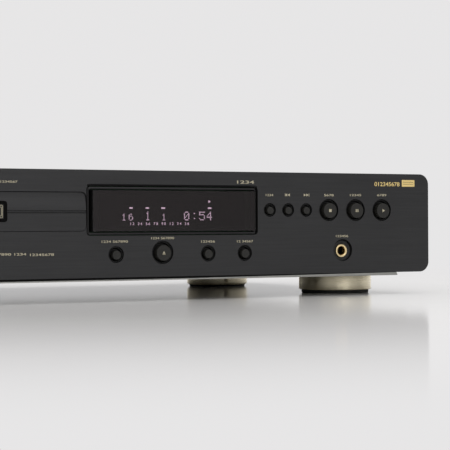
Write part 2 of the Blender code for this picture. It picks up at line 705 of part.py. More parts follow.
def build_front_carrier():
    carrier = front_plate(
        "front_carrier", [carrier_outline(0)], CARRIER_FRONT, CARRIER_BACK, BLACK_PLASTIC
    )
    cavity = [carrier_outline(CARRIER_WALL)]
    cut(carrier, front_plate("carrier_cavity", cavity, CARRIER_PLATE_BACK, CARRIER_BACK + CUT_OVERRUN))
    holes = [circle(cap + KEY_GAP, x, z, KEY_SEGMENTS) for _, x, z, _, cap, _ in KEYS]
    holes.append(circle(BUSH_RADIUS + KEY_GAP, JACK_X, EJECT_ROW_Z, KEY_SEGMENTS))
    hole_front = CARRIER_FRONT - CUT_OVERRUN
    cut(carrier, front_plate("carrier_holes", holes, hole_front, CARRIER_PLATE_BACK + CUT_OVERRUN))
    cut(carrier, door_opening("carrier_door_opening", CARRIER_FRONT, CARRIER_PLATE_BACK))
    cut(carrier, display_opening("carrier_display_opening", CARRIER_FRONT, CARRIER_PLATE_BACK))
    collars = []
    for _, x, z, hole, _, _ in KEYS:
        collars.append(circle(hole - COLLAR_GAP, x, z + KEY_DROP, KEY_SEGMENTS))
        collars.append(circle(hole - COLLAR_GAP - COLLAR_WIDTH, x, z + KEY_DROP, KEY_SEGMENTS))
    front = FACE_Y + COLLAR_RECESS
    join(carrier, front_plate("carrier_collars", collars, front, CARRIER_FRONT + JOIN_DEPTH))


def build_display():
    inner_radius = DISPLAY_CORNER_RADIUS - BEZEL_GAP - BEZEL_BORDER / 2
    outer = rounded_rectangle(
        BEZEL_WIDTH, BEZEL_HEIGHT, DISPLAY_CORNER_RADIUS - BEZEL_GAP, DISPLAY_X, DISPLAY_Z
    )
    inner = rounded_rectangle(
        BEZEL_INNER_WIDTH, BEZEL_INNER_HEIGHT, inner_radius, DISPLAY_X, DISPLAY_Z
    )
    front_plate("display_bezel", [outer, inner], BEZEL_FRONT, BEZEL_BACK, BLACK_ALUMINIUM)
    flange_front = BEZEL_BACK + SEAT_GAP
    flange_width = BEZEL_INNER_WIDTH + 2 * WINDOW_FLANGE_LAP
    flange_height = BEZEL_INNER_HEIGHT + 2 * WINDOW_FLANGE_LAP
    window = upright_slab(
        "display_window", flange_width, flange_height, WINDOW_FLANGE_LAP, DISPLAY_X, DISPLAY_Z,
        flange_front, flange_front + WINDOW_FLANGE_THICKNESS, SMOKED_ACRYLIC,
    )
    pane = box(
        "window_pane",
        (WINDOW_X - WINDOW_WIDTH / 2, FACE_Y - WINDOW_PROUD, DISPLAY_Z - WINDOW_HEIGHT / 2),
        (WINDOW_X + WINDOW_WIDTH / 2, flange_front + JOIN_DEPTH, DISPLAY_Z + WINDOW_HEIGHT / 2),
    )
    chamfer(pane, WINDOW_EDGE)
    join(window, pane)
    tube_back = BOARD_FRONT - SEAT_GAP
    tube = box(
        "display_tube",
        (DISPLAY_X - TUBE_WIDTH / 2, tube_back - TUBE_THICKNESS, DISPLAY_Z - TUBE_HEIGHT / 2),
        (DISPLAY_X + TUBE_WIDTH / 2, tube_back, DISPLAY_Z + TUBE_HEIGHT / 2),
        TUBE_GLASS,
    )
    chamfer(tube, WINDOW_EDGE)


def build_control_board():
    left = DISPLAY_LEFT + BOARD_LEFT_MARGIN
    right = PANEL_RIGHT - CARRIER_SIDE_INSET - CARRIER_WALL - SEAT_GAP
    height = PANEL_HEIGHT - 2 * (CARRIER_TOP_INSET + CARRIER_WALL + SEAT_GAP)
    radius = CARRIER_CORNER_RADIUS - CARRIER_WALL - SEAT_GAP
    board_back = BOARD_FRONT + BOARD_THICKNESS
    board = upright_slab(
        "control_board", right - left, height, radius, (left + right) / 2, PANEL_MIDDLE,
        BOARD_FRONT, board_back, CIRCUIT_BOARD,
    )
    notch = JACK_SIDE / 2 + SEAT_GAP
    cut(board, box(
        "board_jack_notch",
        (JACK_X - notch, BOARD_FRONT - CUT_OVERRUN, EJECT_ROW_Z - notch),
        (JACK_X + notch, board_back + CUT_OVERRUN, EJECT_ROW_Z + notch),
    ))
    half = SWITCH_SIDE / 2
    places = [(x, z) for name, x, z, *_ in KEYS if name != "key_power"]
    join(board, boxes("board_switches", [
        (
            (x - half, BOARD_FRONT - SWITCH_HEIGHT, z - half),
            (x + half, BOARD_FRONT + JOIN_DEPTH, z + half),
        )
        for x, z in places
    ]))


def build_keys():
    """Each key slides back along its own axis. Its flange keeps it behind the carrier."""
    for name, x, z, _, cap, proud in KEYS:
        top = proud
        flange_top = -(CARRIER_PLATE_BACK - FACE_Y) - SEAT_GAP
        flange_low = flange_top - KEY_FLANGE_THICKNESS
        stem = cap * KEY_STEM_SHARE
        end = FACE_Y - KEY_BACK
        profile = [
            (0, top), (cap - KEY_EDGE, top), (cap, top - KEY_EDGE), (cap, flange_top),
            (cap + KEY_FLANGE_WIDTH, flange_top), (cap + KEY_FLANGE_WIDTH, flange_low),
            (stem, flange_low), (stem, end), (0, end),
        ]
        turned(name, profile, Matrix.Translation((x, FACE_Y, z)) @ TO_FRONT, KEY_GREY)


def build_power_switch():
    """The mains switch that the power key pushes. Its stand is clear of the base's slope."""
    width, depth, height = POWER_SWITCH_SIZE
    front = KEY_BACK + POWER_TRAVEL + SWITCH_PLAY
    switch = box(
        "power_switch",
        (POWER_X - width / 2, front, EJECT_ROW_Z - height / 2),
        (POWER_X + width / 2, front + depth, EJECT_ROW_Z + height / 2),
        GREY_PLASTIC,
    )
    stand_front = front + depth / 2
    join(switch, box(
        "switch_stand",
        (POWER_X + width / 8, stand_front, floor_under(POWER_X) + SEAT_GAP),
        (POWER_X + width / 2, stand_front + depth / 4, EJECT_ROW_Z - height / 2 + JOIN_DEPTH),
    ))


def build_headphone_socket():
    place = Matrix.Translation((JACK_X, FACE_Y, EJECT_ROW_Z)) @ TO_FRONT
    top = -BUSH_RECESS
    profile = [
        (BUSH_BORE_RADIUS + BUSH_CHAMFER, top), (BUSH_RADIUS - BUSH_CHAMFER / 2, top),
        (BUSH_RADIUS, top - BUSH_CHAMFER / 2), (BUSH_RADIUS, top - BUSH_LENGTH),
        (BUSH_BORE_RADIUS, top - BUSH_LENGTH), (BUSH_BORE_RADIUS, top - BUSH_CHAMFER),
    ]
    turned("phones_bush", profile, place, GOLD_METAL, ring=True)
    front = FACE_Y + BUSH_RECESS + BUSH_LENGTH + SEAT_GAP
    half = JACK_SIDE / 2
    jack = box(
        "phones_jack",
        (JACK_X - half, front, EJECT_ROW_Z - half),
        (JACK_X + half, front + JACK_LENGTH, EJECT_ROW_Z + half),
        GREY_PLASTIC,
    )
    bore_end = front + JACK_LENGTH - JACK_END_WALL
    mouth = front - CUT_OVERRUN
    bore = (BUSH_BORE_RADIUS, (JACK_X, mouth, EJECT_ROW_Z), (JACK_X, bore_end, EJECT_ROW_Z))
    cut(jack, cylinders("jack_bore", [bore], segments=KEY_SEGMENTS))


def cover_screw_places():
    """Where the cover's side screws go: (side, y, z)."""
    z = PANEL_BOTTOM + COVER_SCREW_HEIGHT
    depths = [FACE_Y + CASE_DEPTH * share for share in COVER_SCREW_DEPTH_SHARES]
    return [(side, y, z) for side in (-1, 1) for y in depths]


def build_base():
    rim = BASE_HALF
    slope = PAN_DROP
    wall_top = PANEL_BOTTOM + BASE_WALL_HEIGHT
    half = [(PAN_HALF - slope, PAN_BOTTOM), (PAN_HALF, PANEL_BOTTOM), (rim, PANEL_BOTTOM), (rim, wall_top)]
    section = [(-x, z) for x, z in reversed(half)] + half
    front = FACE_Y + BASE_FRONT_SETBACK
    back = REAR_INNER - SEAT_GAP
    base = folded_sheet("base_chassis", section, front, back, SHEET_THICKNESS, ZINC_STEEL)
    cut(base, box(
        "base_front_clearance",
        (-rim - CUT_OVERRUN, front - CUT_OVERRUN, PAN_TOP + SEAT_GAP / 2),
        (rim + CUT_OVERRUN, CARRIER_BACK + SEAT_GAP, wall_top + CUT_OVERRUN),
    ))
    for side in (-1, 1):
        inner = side * (PAN_HALF - slope)
        outer = side * (rim + CUT_OVERRUN)
        cut(base, box(
            "base_front_corner",
            (min(inner, outer), front - CUT_OVERRUN, PAN_BOTTOM - CUT_OVERRUN),
            (max(inner, outer), CARRIER_BACK + SEAT_GAP, wall_top),
        ))
    lip_front = front + JOIN_DEPTH
    lip_half = PAN_HALF - slope
    join(base, box(
        "base_front_lip",
        (-lip_half, lip_front, PAN_BOTTOM + JOIN_DEPTH),
        (lip_half, lip_front + SHEET_THICKNESS, PAN_BOTTOM + PAN_LIP_HEIGHT),
    ))
    radius = COVER_SCREW_RADIUS + SEAT_GAP
    cut(base, cylinders("base_screw_holes", [
        (radius, (side * (rim - LOADER_WALL), y, z), (side * (rim + CUT_OVERRUN), y, z))
        for side, y, z in cover_screw_places()
    ]))


def build_cover():
    """A folded sheet over the top and both sides, with cooling slots over the transformer."""
    corner = COVER_CORNER_RADIUS
    half = []
    for step in range(CORNER_STEPS + 1):
        angle = math.radians(90 * step / CORNER_STEPS)
        x = COVER_HALF - corner + corner * math.sin(angle)
        half.append((x, COVER_TOP - corner + corner * math.cos(angle)))
    half.append((COVER_HALF, PANEL_BOTTOM))
    section = list(reversed(half)) + [(-x, z) for x, z in half]
    front = CARRIER_BACK + SEAT_GAP
    rear = REAR_Y + COVER_REAR_LAP
    cover = folded_sheet("top_cover", section, front, rear, SHEET_THICKNESS, COVER_PAINT)
    first = transformer_place()[0] - VENT_PITCH * (VENT_COUNT - 1) / 2
    slot_rear = REAR_Y - VENT_FROM_REAR
    slots = []
    for number in range(VENT_COUNT):
        left = first + VENT_PITCH * number - VENT_WIDTH / 2
        low = (left, slot_rear - VENT_LENGTH, COVER_TOP - CUT_OVERRUN)
        slots.append((low, (left + VENT_WIDTH, slot_rear, COVER_TOP + CUT_OVERRUN)))
    cut(cover, boxes("vent_slots", slots))
    radius = COVER_SCREW_RADIUS + SEAT_GAP
    cut(cover, cylinders("cover_screw_holes", [
        (radius, (side * (COVER_HALF - CUT_OVERRUN), y, z), (side * (COVER_HALF + CUT_OVERRUN), y, z))
        for side, y, z in cover_screw_places()
    ]))
    for number, (side, y, z) in enumerate(cover_screw_places(), start=1):
        build_cover_screw(number, side, y, z)


def build_cover_screw(number, side, y, z):
    top = COVER_SCREW_HEAD_HEIGHT
    round_off = COVER_SCREW_HEAD_RADIUS / 4
    profile = [
        (0, top), (COVER_SCREW_HEAD_RADIUS - 2 * round_off, top),
        (COVER_SCREW_HEAD_RADIUS, top - round_off), (COVER_SCREW_HEAD_RADIUS, 0),
        (COVER_SCREW_RADIUS, 0), (COVER_SCREW_RADIUS, -COVER_SCREW_LENGTH), (0, -COVER_SCREW_LENGTH),
    ]
    turn = TO_RIGHT if side > 0 else TO_LEFT
    seat = side * (COVER_HALF + SEAT_GAP)
    screw = turned(
        f"cover_screw_{number}", profile, Matrix.Translation((seat, y, z)) @ turn, STEEL, SMALL_SEGMENTS
    )
    outer = side * (COVER_HALF + SEAT_GAP + top)
    inner = outer - side * top / 2
    slot_half = COVER_SCREW_SLOT_WIDTH / 2
    arm = COVER_SCREW_HEAD_RADIUS / 2
    for reach_y, reach_z in ((arm, slot_half), (slot_half, arm)):
        cut(screw, box(
            "screw_recess",
            (min(inner, outer + side * CUT_OVERRUN), y - reach_y, z - reach_z),
            (max(inner, outer + side * CUT_OVERRUN), y + reach_y, z + reach_z),
        ))


def build_rear_panel():
    width = 2 * (COVER_HALF - SHEET_THICKNESS - SEAT_GAP)
    low = PANEL_BOTTOM
    high = COVER_TOP - SHEET_THICKNESS - SEAT_GAP
    radius = COVER_CORNER_RADIUS
    panel = upright_slab(
        "rear_panel", width, high - low, radius, 0, (low + high) / 2, REAR_INNER, REAR_Y, COVER_PAINT
    )
    front = REAR_INNER - CUT_OVERRUN
    back = REAR_Y + CUT_OVERRUN
    hole = PHONO_RADIUS + SEAT_GAP
    places = [PHONO_X - PHONO_PITCH / 2, PHONO_X + PHONO_PITCH / 2, DIGITAL_X]
    holes = [circle(hole, x, REAR_ROW_Z, KEY_SEGMENTS) for x in places]
    cut(panel, front_plate("rear_round_holes", holes, front, back))
    width = INLET_WIDTH + 2 * (INLET_WALL + SEAT_GAP)
    height = INLET_HEIGHT + 2 * (INLET_WALL + SEAT_GAP)
    cut(panel, box(
        "rear_inlet_hole",
        (INLET_X - width / 2, front, REAR_ROW_Z - height / 2),
        (INLET_X + width / 2, back, REAR_ROW_Z + height / 2),
    ))
    width = OPTICAL_WIDTH + 2 * SEAT_GAP
    height = OPTICAL_HEIGHT + 2 * SEAT_GAP
    cut(panel, box(
        "rear_optical_hole",
        (OPTICAL_X - width / 2, front, REAR_ROW_Z - height / 2),
        (OPTICAL_X + width / 2, back, REAR_ROW_Z + height / 2),
    ))


def round_socket(x):
    """The barrel of one round socket, through the rear panel, and the bore in it."""
    start = REAR_INNER - SEAT_GAP - JOIN_DEPTH
    rear = REAR_Y + PHONO_PROUD
    barrel = (PHONO_RADIUS, (x, start, REAR_ROW_Z), (x, rear, REAR_ROW_Z))
    bore = (
        PHONO_BORE_RADIUS, (x, rear - PHONO_BORE_DEPTH, REAR_ROW_Z), (x, rear + CUT_OVERRUN, REAR_ROW_Z)
    )
    return barrel, bore


def socket_block(name, left, right, material):
    back = REAR_INNER - SEAT_GAP
    return box(
        name,
        (left, back - PHONO_BLOCK_DEPTH, REAR_ROW_Z - PHONO_BLOCK_HEIGHT / 2),
        (right, back, REAR_ROW_Z + PHONO_BLOCK_HEIGHT / 2),
        material,
    )


def build_sockets():
    side = PHONO_BLOCK_HEIGHT / 2
    pair = [PHONO_X - PHONO_PITCH / 2, PHONO_X + PHONO_PITCH / 2]
    line = socket_block("line_sockets", pair[0] - side, pair[1] + side, BLACK_PLASTIC)
    barrels, bores = zip(*[round_socket(x) for x in pair])
    join(line, cylinders("line_barrels", barrels, segments=KEY_SEGMENTS))
    cut(line, cylinders("line_bores", bores))
    digital = socket_block("digital_sockets", OPTICAL_X - side, DIGITAL_X + side, BLACK_PLASTIC)
    barrel, bore = round_socket(DIGITAL_X)
    join(digital, cylinders("digital_barrel", [barrel], segments=KEY_SEGMENTS))
    cut(digital, cylinders("digital_bore", [bore]))
    start = REAR_INNER - SEAT_GAP - JOIN_DEPTH
    rear = REAR_Y + OPTICAL_PROUD
    join(digital, box(
        "optical_nose",
        (OPTICAL_X - OPTICAL_WIDTH / 2, start, REAR_ROW_Z - OPTICAL_HEIGHT / 2),
        (OPTICAL_X + OPTICAL_WIDTH / 2, rear, REAR_ROW_Z + OPTICAL_HEIGHT / 2),
    ))
    half = OPTICAL_PORT_SIDE / 2
    cut(digital, box(
        "optical_port",
        (OPTICAL_X - half, rear - PHONO_BORE_DEPTH, REAR_ROW_Z - half),
        (OPTICAL_X + half, rear + CUT_OVERRUN, REAR_ROW_Z + half),
    ))


def build_mains_inlet():
    """A socket open to the rear with three flat pins, held by its flange outside the rear panel."""
    width = INLET_WIDTH + 2 * INLET_WALL
    height = INLET_HEIGHT + 2 * INLET_WALL
    flange_front = REAR_Y + SEAT_GAP
    flange_back = flange_front + INLET_FLANGE_THICKNESS
    body_front = flange_front - INLET_LENGTH
    inlet = box(
        "mains_inlet",
        (INLET_X - width / 2, body_front, REAR_ROW_Z - height / 2),
        (INLET_X + width / 2, flange_front + JOIN_DEPTH, REAR_ROW_Z + height / 2),
        BLACK_PLASTIC,
    )
    lip = INLET_FLANGE
    join(inlet, upright_slab(
        "inlet_flange", width + 2 * lip, height + 2 * lip, lip, INLET_X, REAR_ROW_Z,
        flange_front, flange_back,
    ))
    cavity_front = body_front + INLET_WALL
    cut(inlet, upright_slab(
        "inlet_cavity", INLET_WIDTH, INLET_HEIGHT, INLET_WALL, INLET_X, REAR_ROW_Z,
        cavity_front, flange_back + CUT_OVERRUN,
    ))
    pin_width, pin_length, pin_height = INLET_PIN_SIZE
    pins = []
    for column, rise in ((-1, -1), (0, 1), (1, -1)):
        x = INLET_X + column * INLET_PIN_PITCH
        z = REAR_ROW_Z + rise * pin_height / 2
        pins.append((
            (x - pin_width / 2, cavity_front - JOIN_DEPTH, z - pin_height / 2),
            (x + pin_width / 2, cavity_front + pin_length, z + pin_height / 2),
        ))
    join(inlet, boxes("inlet_pins", pins))


def build_foot(name, x, y, radius, pad_shown):
    """A turned aluminium cup with a rubber pad plugged into it from below."""
    top = PAN_BOTTOM - SEAT_GAP
    low = pad_shown + SEAT_GAP
    bore = radius - FOOT_WALL
    neck = radius - FOOT_NECK_INSET
    shoulder = top - FOOT_NECK
    ceiling = top - FOOT_TOP_THICKNESS
    place = Matrix.Translation((x, y, 0))
    shell = [
        (0, top), (neck, top), (neck, shoulder), (radius, shoulder), (radius, low + FOOT_CHAMFER),
        (radius - FOOT_CHAMFER, low), (bore, low), (bore, ceiling), (0, ceiling),
    ]
    turned("foot_shell_" + name, shell, place, CHAMPAGNE, LARGE_SEGMENTS)
    plug = bore - SEAT_GAP
    rim = radius - PAD_INSET
    seated = low + PAD_SEATED
    pad = [(0, seated), (plug, seated), (plug, pad_shown), (rim, pad_shown), (rim, 0), (0, 0)]
    turned("foot_pad_" + name, pad, place, RUBBER, LARGE_SEGMENTS)


def rack_outline(start, end):
    """The rack's plan: a straight back, and teeth that point to -X with one centred on the pinion."""
    pitch = math.pi * GEAR_MODULE
    slope = math.tan(math.radians(PRESSURE_ANGLE))
    addendum = GEAR_MODULE * RACK_ADDENDUM_SHARE
    dedendum = GEAR_MODULE * DEDENDUM_SHARE
    half = pitch / 4 - TOOTH_BACKLASH / 2
    before = math.floor((PINION_Y - start) / pitch)
    count = math.floor((end - PINION_Y) / pitch)
    points = [(RACK_PITCH_X + dedendum + RACK_BACK, start)]
    for number in range(-before, count + 1):
        middle = PINION_Y + number * pitch
        root = half + dedendum * slope
        tip = half - addendum * slope
        if middle - root < start or middle + root > end:
            continue
        points.append((RACK_PITCH_X + dedendum, middle - root))
        points.append((RACK_PITCH_X - addendum, middle - tip))
        points.append((RACK_PITCH_X - addendum, middle + tip))
        points.append((RACK_PITCH_X + dedendum, middle + root))
    points.insert(1, (RACK_PITCH_X + dedendum, start))
    points.append((RACK_PITCH_X + dedendum, end))
    points.append((RACK_PITCH_X + dedendum + RACK_BACK, end))
    return points


def pinion_outline():
    """Involute teeth about the pinion's own axis, with a gap between two teeth that faces +X."""
    base = PITCH_RADIUS * math.cos(math.radians(PRESSURE_ANGLE))
    tip = PITCH_RADIUS + GEAR_MODULE
    root = PITCH_RADIUS - GEAR_MODULE * DEDENDUM_SHARE

    def involute(radius):
        angle = math.acos(min(1, base / radius))
        return math.tan(angle) - angle

    half_tooth = (math.pi * GEAR_MODULE / 2 - TOOTH_BACKLASH) / 2 / PITCH_RADIUS + involute(PITCH_RADIUS)
    flank = [base + (tip - base) * step / FLANK_STEPS for step in range(FLANK_STEPS + 1)]
    points = []
    for tooth in range(PINION_TEETH):
        middle = math.pi * (2 * tooth + 1) / PINION_TEETH
        rise = [(root, -half_tooth)] + [(radius, involute(radius) - half_tooth) for radius in flank]
        for radius, angle in rise + [(radius, -angle) for radius, angle in reversed(rise)]:
            points.append((radius * math.cos(middle + angle), radius * math.sin(middle + angle)))
    return points


def build_drawer():
    """The disc drawer, its rack under the right-hand edge, and the door on its front."""
    left = DOOR_X - DRAWER_WIDTH / 2
    right = DOOR_X + DRAWER_WIDTH / 2
    low_corner = (left, DRAWER_FRONT, DRAWER_BOTTOM)
    tray = box("drawer", low_corner, (right, DRAWER_REAR, DRAWER_TOP), BLACK_PLASTIC)
    well = [(DISC_WELL_RADIUS, (DOOR_X, DISC_Y, WELL_FLOOR), (DOOR_X, DISC_Y, DRAWER_TOP + CUT_OVERRUN))]
    cut(tray, cylinders("disc_well", well, segments=WELL_SEGMENTS))
    step_floor = WELL_FLOOR - SMALL_WELL_STEP
    inner = [(SMALL_WELL_RADIUS, (DOOR_X, DISC_Y, step_floor), (DOOR_X, DISC_Y, DRAWER_TOP))]
    cut(tray, cylinders("small_disc_well", inner, segments=LARGE_SEGMENTS))
    cut(tray, box(
        "drawer_slot",
        (DOOR_X - SLOT_HALF_WIDTH, DISC_Y - SLOT_FRONT, DRAWER_BOTTOM - CUT_OVERRUN),
        (DOOR_X + SLOT_HALF_WIDTH, DRAWER_REAR + CUT_OVERRUN, DRAWER_TOP + CUT_OVERRUN),
    ))
    low = PINION_BOTTOM + 2 * SEAT_GAP
    high = DRAWER_BOTTOM + JOIN_DEPTH
    place = Matrix.Translation((0, 0, (low + high) / 2))
    rack = [rack_outline(PINION_Y - RACK_LEAD, PINION_Y + DRAWER_TRAVEL + RACK_LEAD / 2)]
    join(tray, outline_solid("drawer_rack", rack, high - low, place))


def build_door():
    """Its upper half leans back in a soft swell above a bead. The badge sits in a pocket in the middle."""
    high = DOOR_Z + DOOR_HEIGHT / 2
    middle = DOOR_Z - DOOR_BEAD_DROP
    back = FACE_Y + DOOR_THICKNESS
    door = upright_slab(
        "drawer_door", DOOR_WIDTH, DOOR_HEIGHT, DOOR_CORNER_RADIUS, DOOR_X, DOOR_Z,
        FACE_Y, back, BLACK_ALUMINIUM,
    )
    half = DOOR_BEAD_WIDTH / 2
    swell = [(FACE_Y - CUT_OVERRUN, middle + half)]
    for step in range(DOOR_SLOPE_STEPS + 1):
        along = step / DOOR_SLOPE_STEPS
        wave = DOOR_SWELL * math.sin(2 * math.pi * along) / (2 * math.pi)
        depth = DOOR_SLOPE_START + DOOR_SLOPE_DEPTH * along - wave
        swell.append((FACE_Y + depth, middle + half + (high - middle - half) * along))
    swell.append((FACE_Y - CUT_OVERRUN, high))
    turn = Matrix.Translation((DOOR_X, 0, 0)) @ Matrix.Rotation(math.pi / 2, 4, "Z") @ TO_FRONT
    length = DOOR_WIDTH + 2 * CUT_OVERRUN
    cut(door, outline_solid("door_swell", [swell], length, turn))
    grooves = []
    for edge in (middle - half - DOOR_BEAD_DEPTH, middle + half):
        grooves.append((
            (DOOR_X - length / 2, FACE_Y - CUT_OVERRUN, edge),
            (DOOR_X + length / 2, FACE_Y + DOOR_BEAD_DEPTH, edge + DOOR_BEAD_DEPTH),
        ))
    cut(door, boxes("door_grooves", grooves))
    pocket = BADGE_THICKNESS - BADGE_PROUD + SEAT_GAP
    cut(door, opening(
        "badge_pocket", BADGE_WIDTH + 2 * SEAT_GAP, BADGE_HEIGHT + 2 * SEAT_GAP,
        BADGE_CORNER_RADIUS + SEAT_GAP, DOOR_X, DOOR_Z, FACE_Y, FACE_Y + pocket - CUT_OVERRUN,
    ))
    badge_front = FACE_Y - BADGE_PROUD
    upright_slab(
        "door_badge", BADGE_WIDTH, BADGE_HEIGHT, BADGE_CORNER_RADIUS, DOOR_X, DOOR_Z,
        badge_front, badge_front + BADGE_THICKNESS, BLACK_ALUMINIUM,
    )


def build_loader_frame():
    """The channel that the drawer slides in: floor, sides, rails, back wall, legs and bearing ears."""
    left = DOOR_X - LOADER_HALF
    right = DOOR_X + LOADER_HALF
    frame = box(
        "loader_frame", (left, LOADER_FRONT, FLOOR_BOTTOM), (right, LOADER_REAR, LOADER_TOP), GREY_PLASTIC
    )
    inner_left = DOOR_X - LOADER_INNER_HALF
    inner_right = DOOR_X + LOADER_INNER_HALF
    inner_rear = LOADER_REAR - LOADER_WALL
    rail_top = DRAWER_BOTTOM - SEAT_GAP
    rail_low = rail_top - RAIL_THICKNESS
    rail = LOADER_SIDE_GAP + RAIL_LAP
    start = LOADER_FRONT - CUT_OVERRUN
    above = (inner_right, inner_rear, LOADER_TOP + CUT_OVERRUN)
    cut(frame, box("loader_space_above", (inner_left, start, rail_top), above))
    below = (inner_right, inner_rear, rail_low)
    cut(frame, box("loader_space_below", (inner_left, start, FLOOR_TOP), below))
    cut(frame, box(
        "loader_space_middle",
        (inner_left + rail, start, rail_low - JOIN_DEPTH),
        (inner_right - rail, inner_rear, rail_top + JOIN_DEPTH),
    ))
    gap = DECK_GAP
    cut(frame, box(
        "deck_opening",
        (DOOR_X - DECK_HALF_WIDTH - gap, DISC_Y - DECK_FRONT - gap, FLOOR_BOTTOM - CUT_OVERRUN),
        (DOOR_X + DECK_HALF_WIDTH + gap, DISC_Y + DECK_REAR + gap, FLOOR_TOP + CUT_OVERRUN),
    ))
    ears = []
    for side in (-1, 1):
        near = DOOR_X + side * EAR_X
        far = near + side * EAR_THICKNESS
        reach = DECK_PIN_RADIUS + EAR_THICKNESS
        ears.append((
            (min(near, far), DECK_PIN_Y - reach, FLOOR_BOTTOM),
            (max(near, far), DECK_PIN_Y + reach, DECK_PIN_Z + reach),
        ))
    join(frame, boxes("deck_ears", ears))
    hole = DECK_PIN_RADIUS + BORE_GAP
    length = EAR_X + EAR_THICKNESS + CUT_OVERRUN
    cut(frame, cylinders("ear_holes", [
        (hole, (DOOR_X - length, DECK_PIN_Y, DECK_PIN_Z), (DOOR_X + length, DECK_PIN_Y, DECK_PIN_Z))
    ]))
    legs = []
    for side in (-1, 1):
        x = DOOR_X + side * (LOADER_HALF - LEG_SIDE / 2)
        for share in LEG_DEPTH_SHARES:
            y = LOADER_FRONT + (LOADER_REAR - LOADER_FRONT) * share
            half = LEG_SIDE / 2
            legs.append((
                (x - half, y - half, floor_under(abs(x) + half) + SEAT_GAP),
                (x + half, y + half, FLOOR_BOTTOM + JOIN_DEPTH),
            ))
    join(frame, boxes("loader_legs", legs))
    join(frame, cylinders("pinion_pin", [
        (PINION_PIN_RADIUS, (PINION_X, PINION_Y, FLOOR_BOTTOM), (PINION_X, PINION_Y, PINION_TOP - SEAT_GAP))
    ]))
    motor_hole = SHAFT_RADIUS + SEAT_GAP
    hole_low = FLOOR_BOTTOM - CUT_OVERRUN
    cut(frame, cylinders("motor_shaft_hole", [
        (motor_hole, (MOTOR_X, MOTOR_Y, hole_low), (MOTOR_X, MOTOR_Y, FLOOR_TOP + CUT_OVERRUN))
    ]))


def build_drive():
    """Motor, belt and pinion that move the drawer."""
    height = PINION_TOP - PINION_BOTTOM
    place = Matrix.Translation((PINION_X, PINION_Y, PINION_BOTTOM + (height - JOIN_DEPTH) / 2))
    pinion = outline_solid("drive_pinion", [pinion_outline()], height + JOIN_DEPTH, place, WHITE_PLASTIC)
    flange = PULLEY_RADIUS + PULLEY_FLANGE
    pulley_profile = grooved_profile(PULLEY_RADIUS, flange, 0)
    pulley_place = Matrix.Translation((PINION_X, PINION_Y, PULLEY_BOTTOM))
    pulley = turned("pinion_pulley", pulley_profile, pulley_place)
    join(pinion, pulley)
    bore = PINION_PIN_RADIUS + BORE_GAP
    low = PULLEY_BOTTOM - CUT_OVERRUN
    cut(pinion, cylinders("pinion_bore", [
        (bore, (PINION_X, PINION_Y, low), (PINION_X, PINION_Y, PINION_TOP + CUT_OVERRUN))
    ]))
    small_flange = MOTOR_PULLEY_RADIUS + MOTOR_PULLEY_FLANGE
    small = grooved_profile(MOTOR_PULLEY_RADIUS, small_flange, SHAFT_RADIUS + BORE_GAP)
    turned(
        "motor_pulley", small, Matrix.Translation((MOTOR_X, MOTOR_Y, PULLEY_BOTTOM)), WHITE_PLASTIC,
        SMALL_SEGMENTS, ring=True,
    )
    middle = Matrix.Translation((0, 0, BELT_Z))
    loops = [belt_outline(BORE_GAP + BELT_THICKNESS), belt_outline(BORE_GAP)]
    outline_solid("drive_belt", loops, BELT_HEIGHT, middle, RUBBER)
    top = FLOOR_BOTTOM - SEAT_GAP
    shaft_top = PULLEY_BOTTOM + PULLEY_HEIGHT
    motor_profile = [
        (0, shaft_top), (SHAFT_RADIUS, shaft_top), (SHAFT_RADIUS, top), (MOTOR_RADIUS, top),
        (MOTOR_RADIUS, top - MOTOR_HEIGHT), (0, top - MOTOR_HEIGHT),
    ]
    turned("loading_motor", motor_profile, Matrix.Translation((MOTOR_X, MOTOR_Y, 0)), STEEL)


def grooved_profile(floor, flange, bore):
    """A pulley's side from the top down. A pulley with no bore is solid to its axis."""
    lip = (PULLEY_HEIGHT - BELT_HEIGHT) / 4
    rim = [
        (flange, PULLEY_HEIGHT), (flange, PULLEY_HEIGHT - lip), (floor, PULLEY_HEIGHT - 2 * lip),
        (floor, 2 * lip), (flange, lip), (flange, 0),
    ]
    return [(bore, PULLEY_HEIGHT)] + rim + [(bore, 0)]


def belt_outline(offset):
    """The loop round both pulleys at an offset from their grooves."""
    large = PULLEY_RADIUS + offset
    small = MOTOR_PULLEY_RADIUS + offset
    meet = math.acos((PULLEY_RADIUS - MOTOR_PULLEY_RADIUS) / BELT_CENTRES)
    points = []
    for step in range(BELT_STEPS + 1):
        angle = math.pi / 2 + meet + (2 * math.pi - 2 * meet) * step / BELT_STEPS
        points.append((PINION_X + large * math.cos(angle), PINION_Y + large * math.sin(angle)))
    for step in range(BELT_STEPS + 1):
        angle = math.pi / 2 - meet + 2 * meet * step / BELT_STEPS
        points.append((MOTOR_X + small * math.cos(angle), MOTOR_Y + small * math.sin(angle)))
    return points


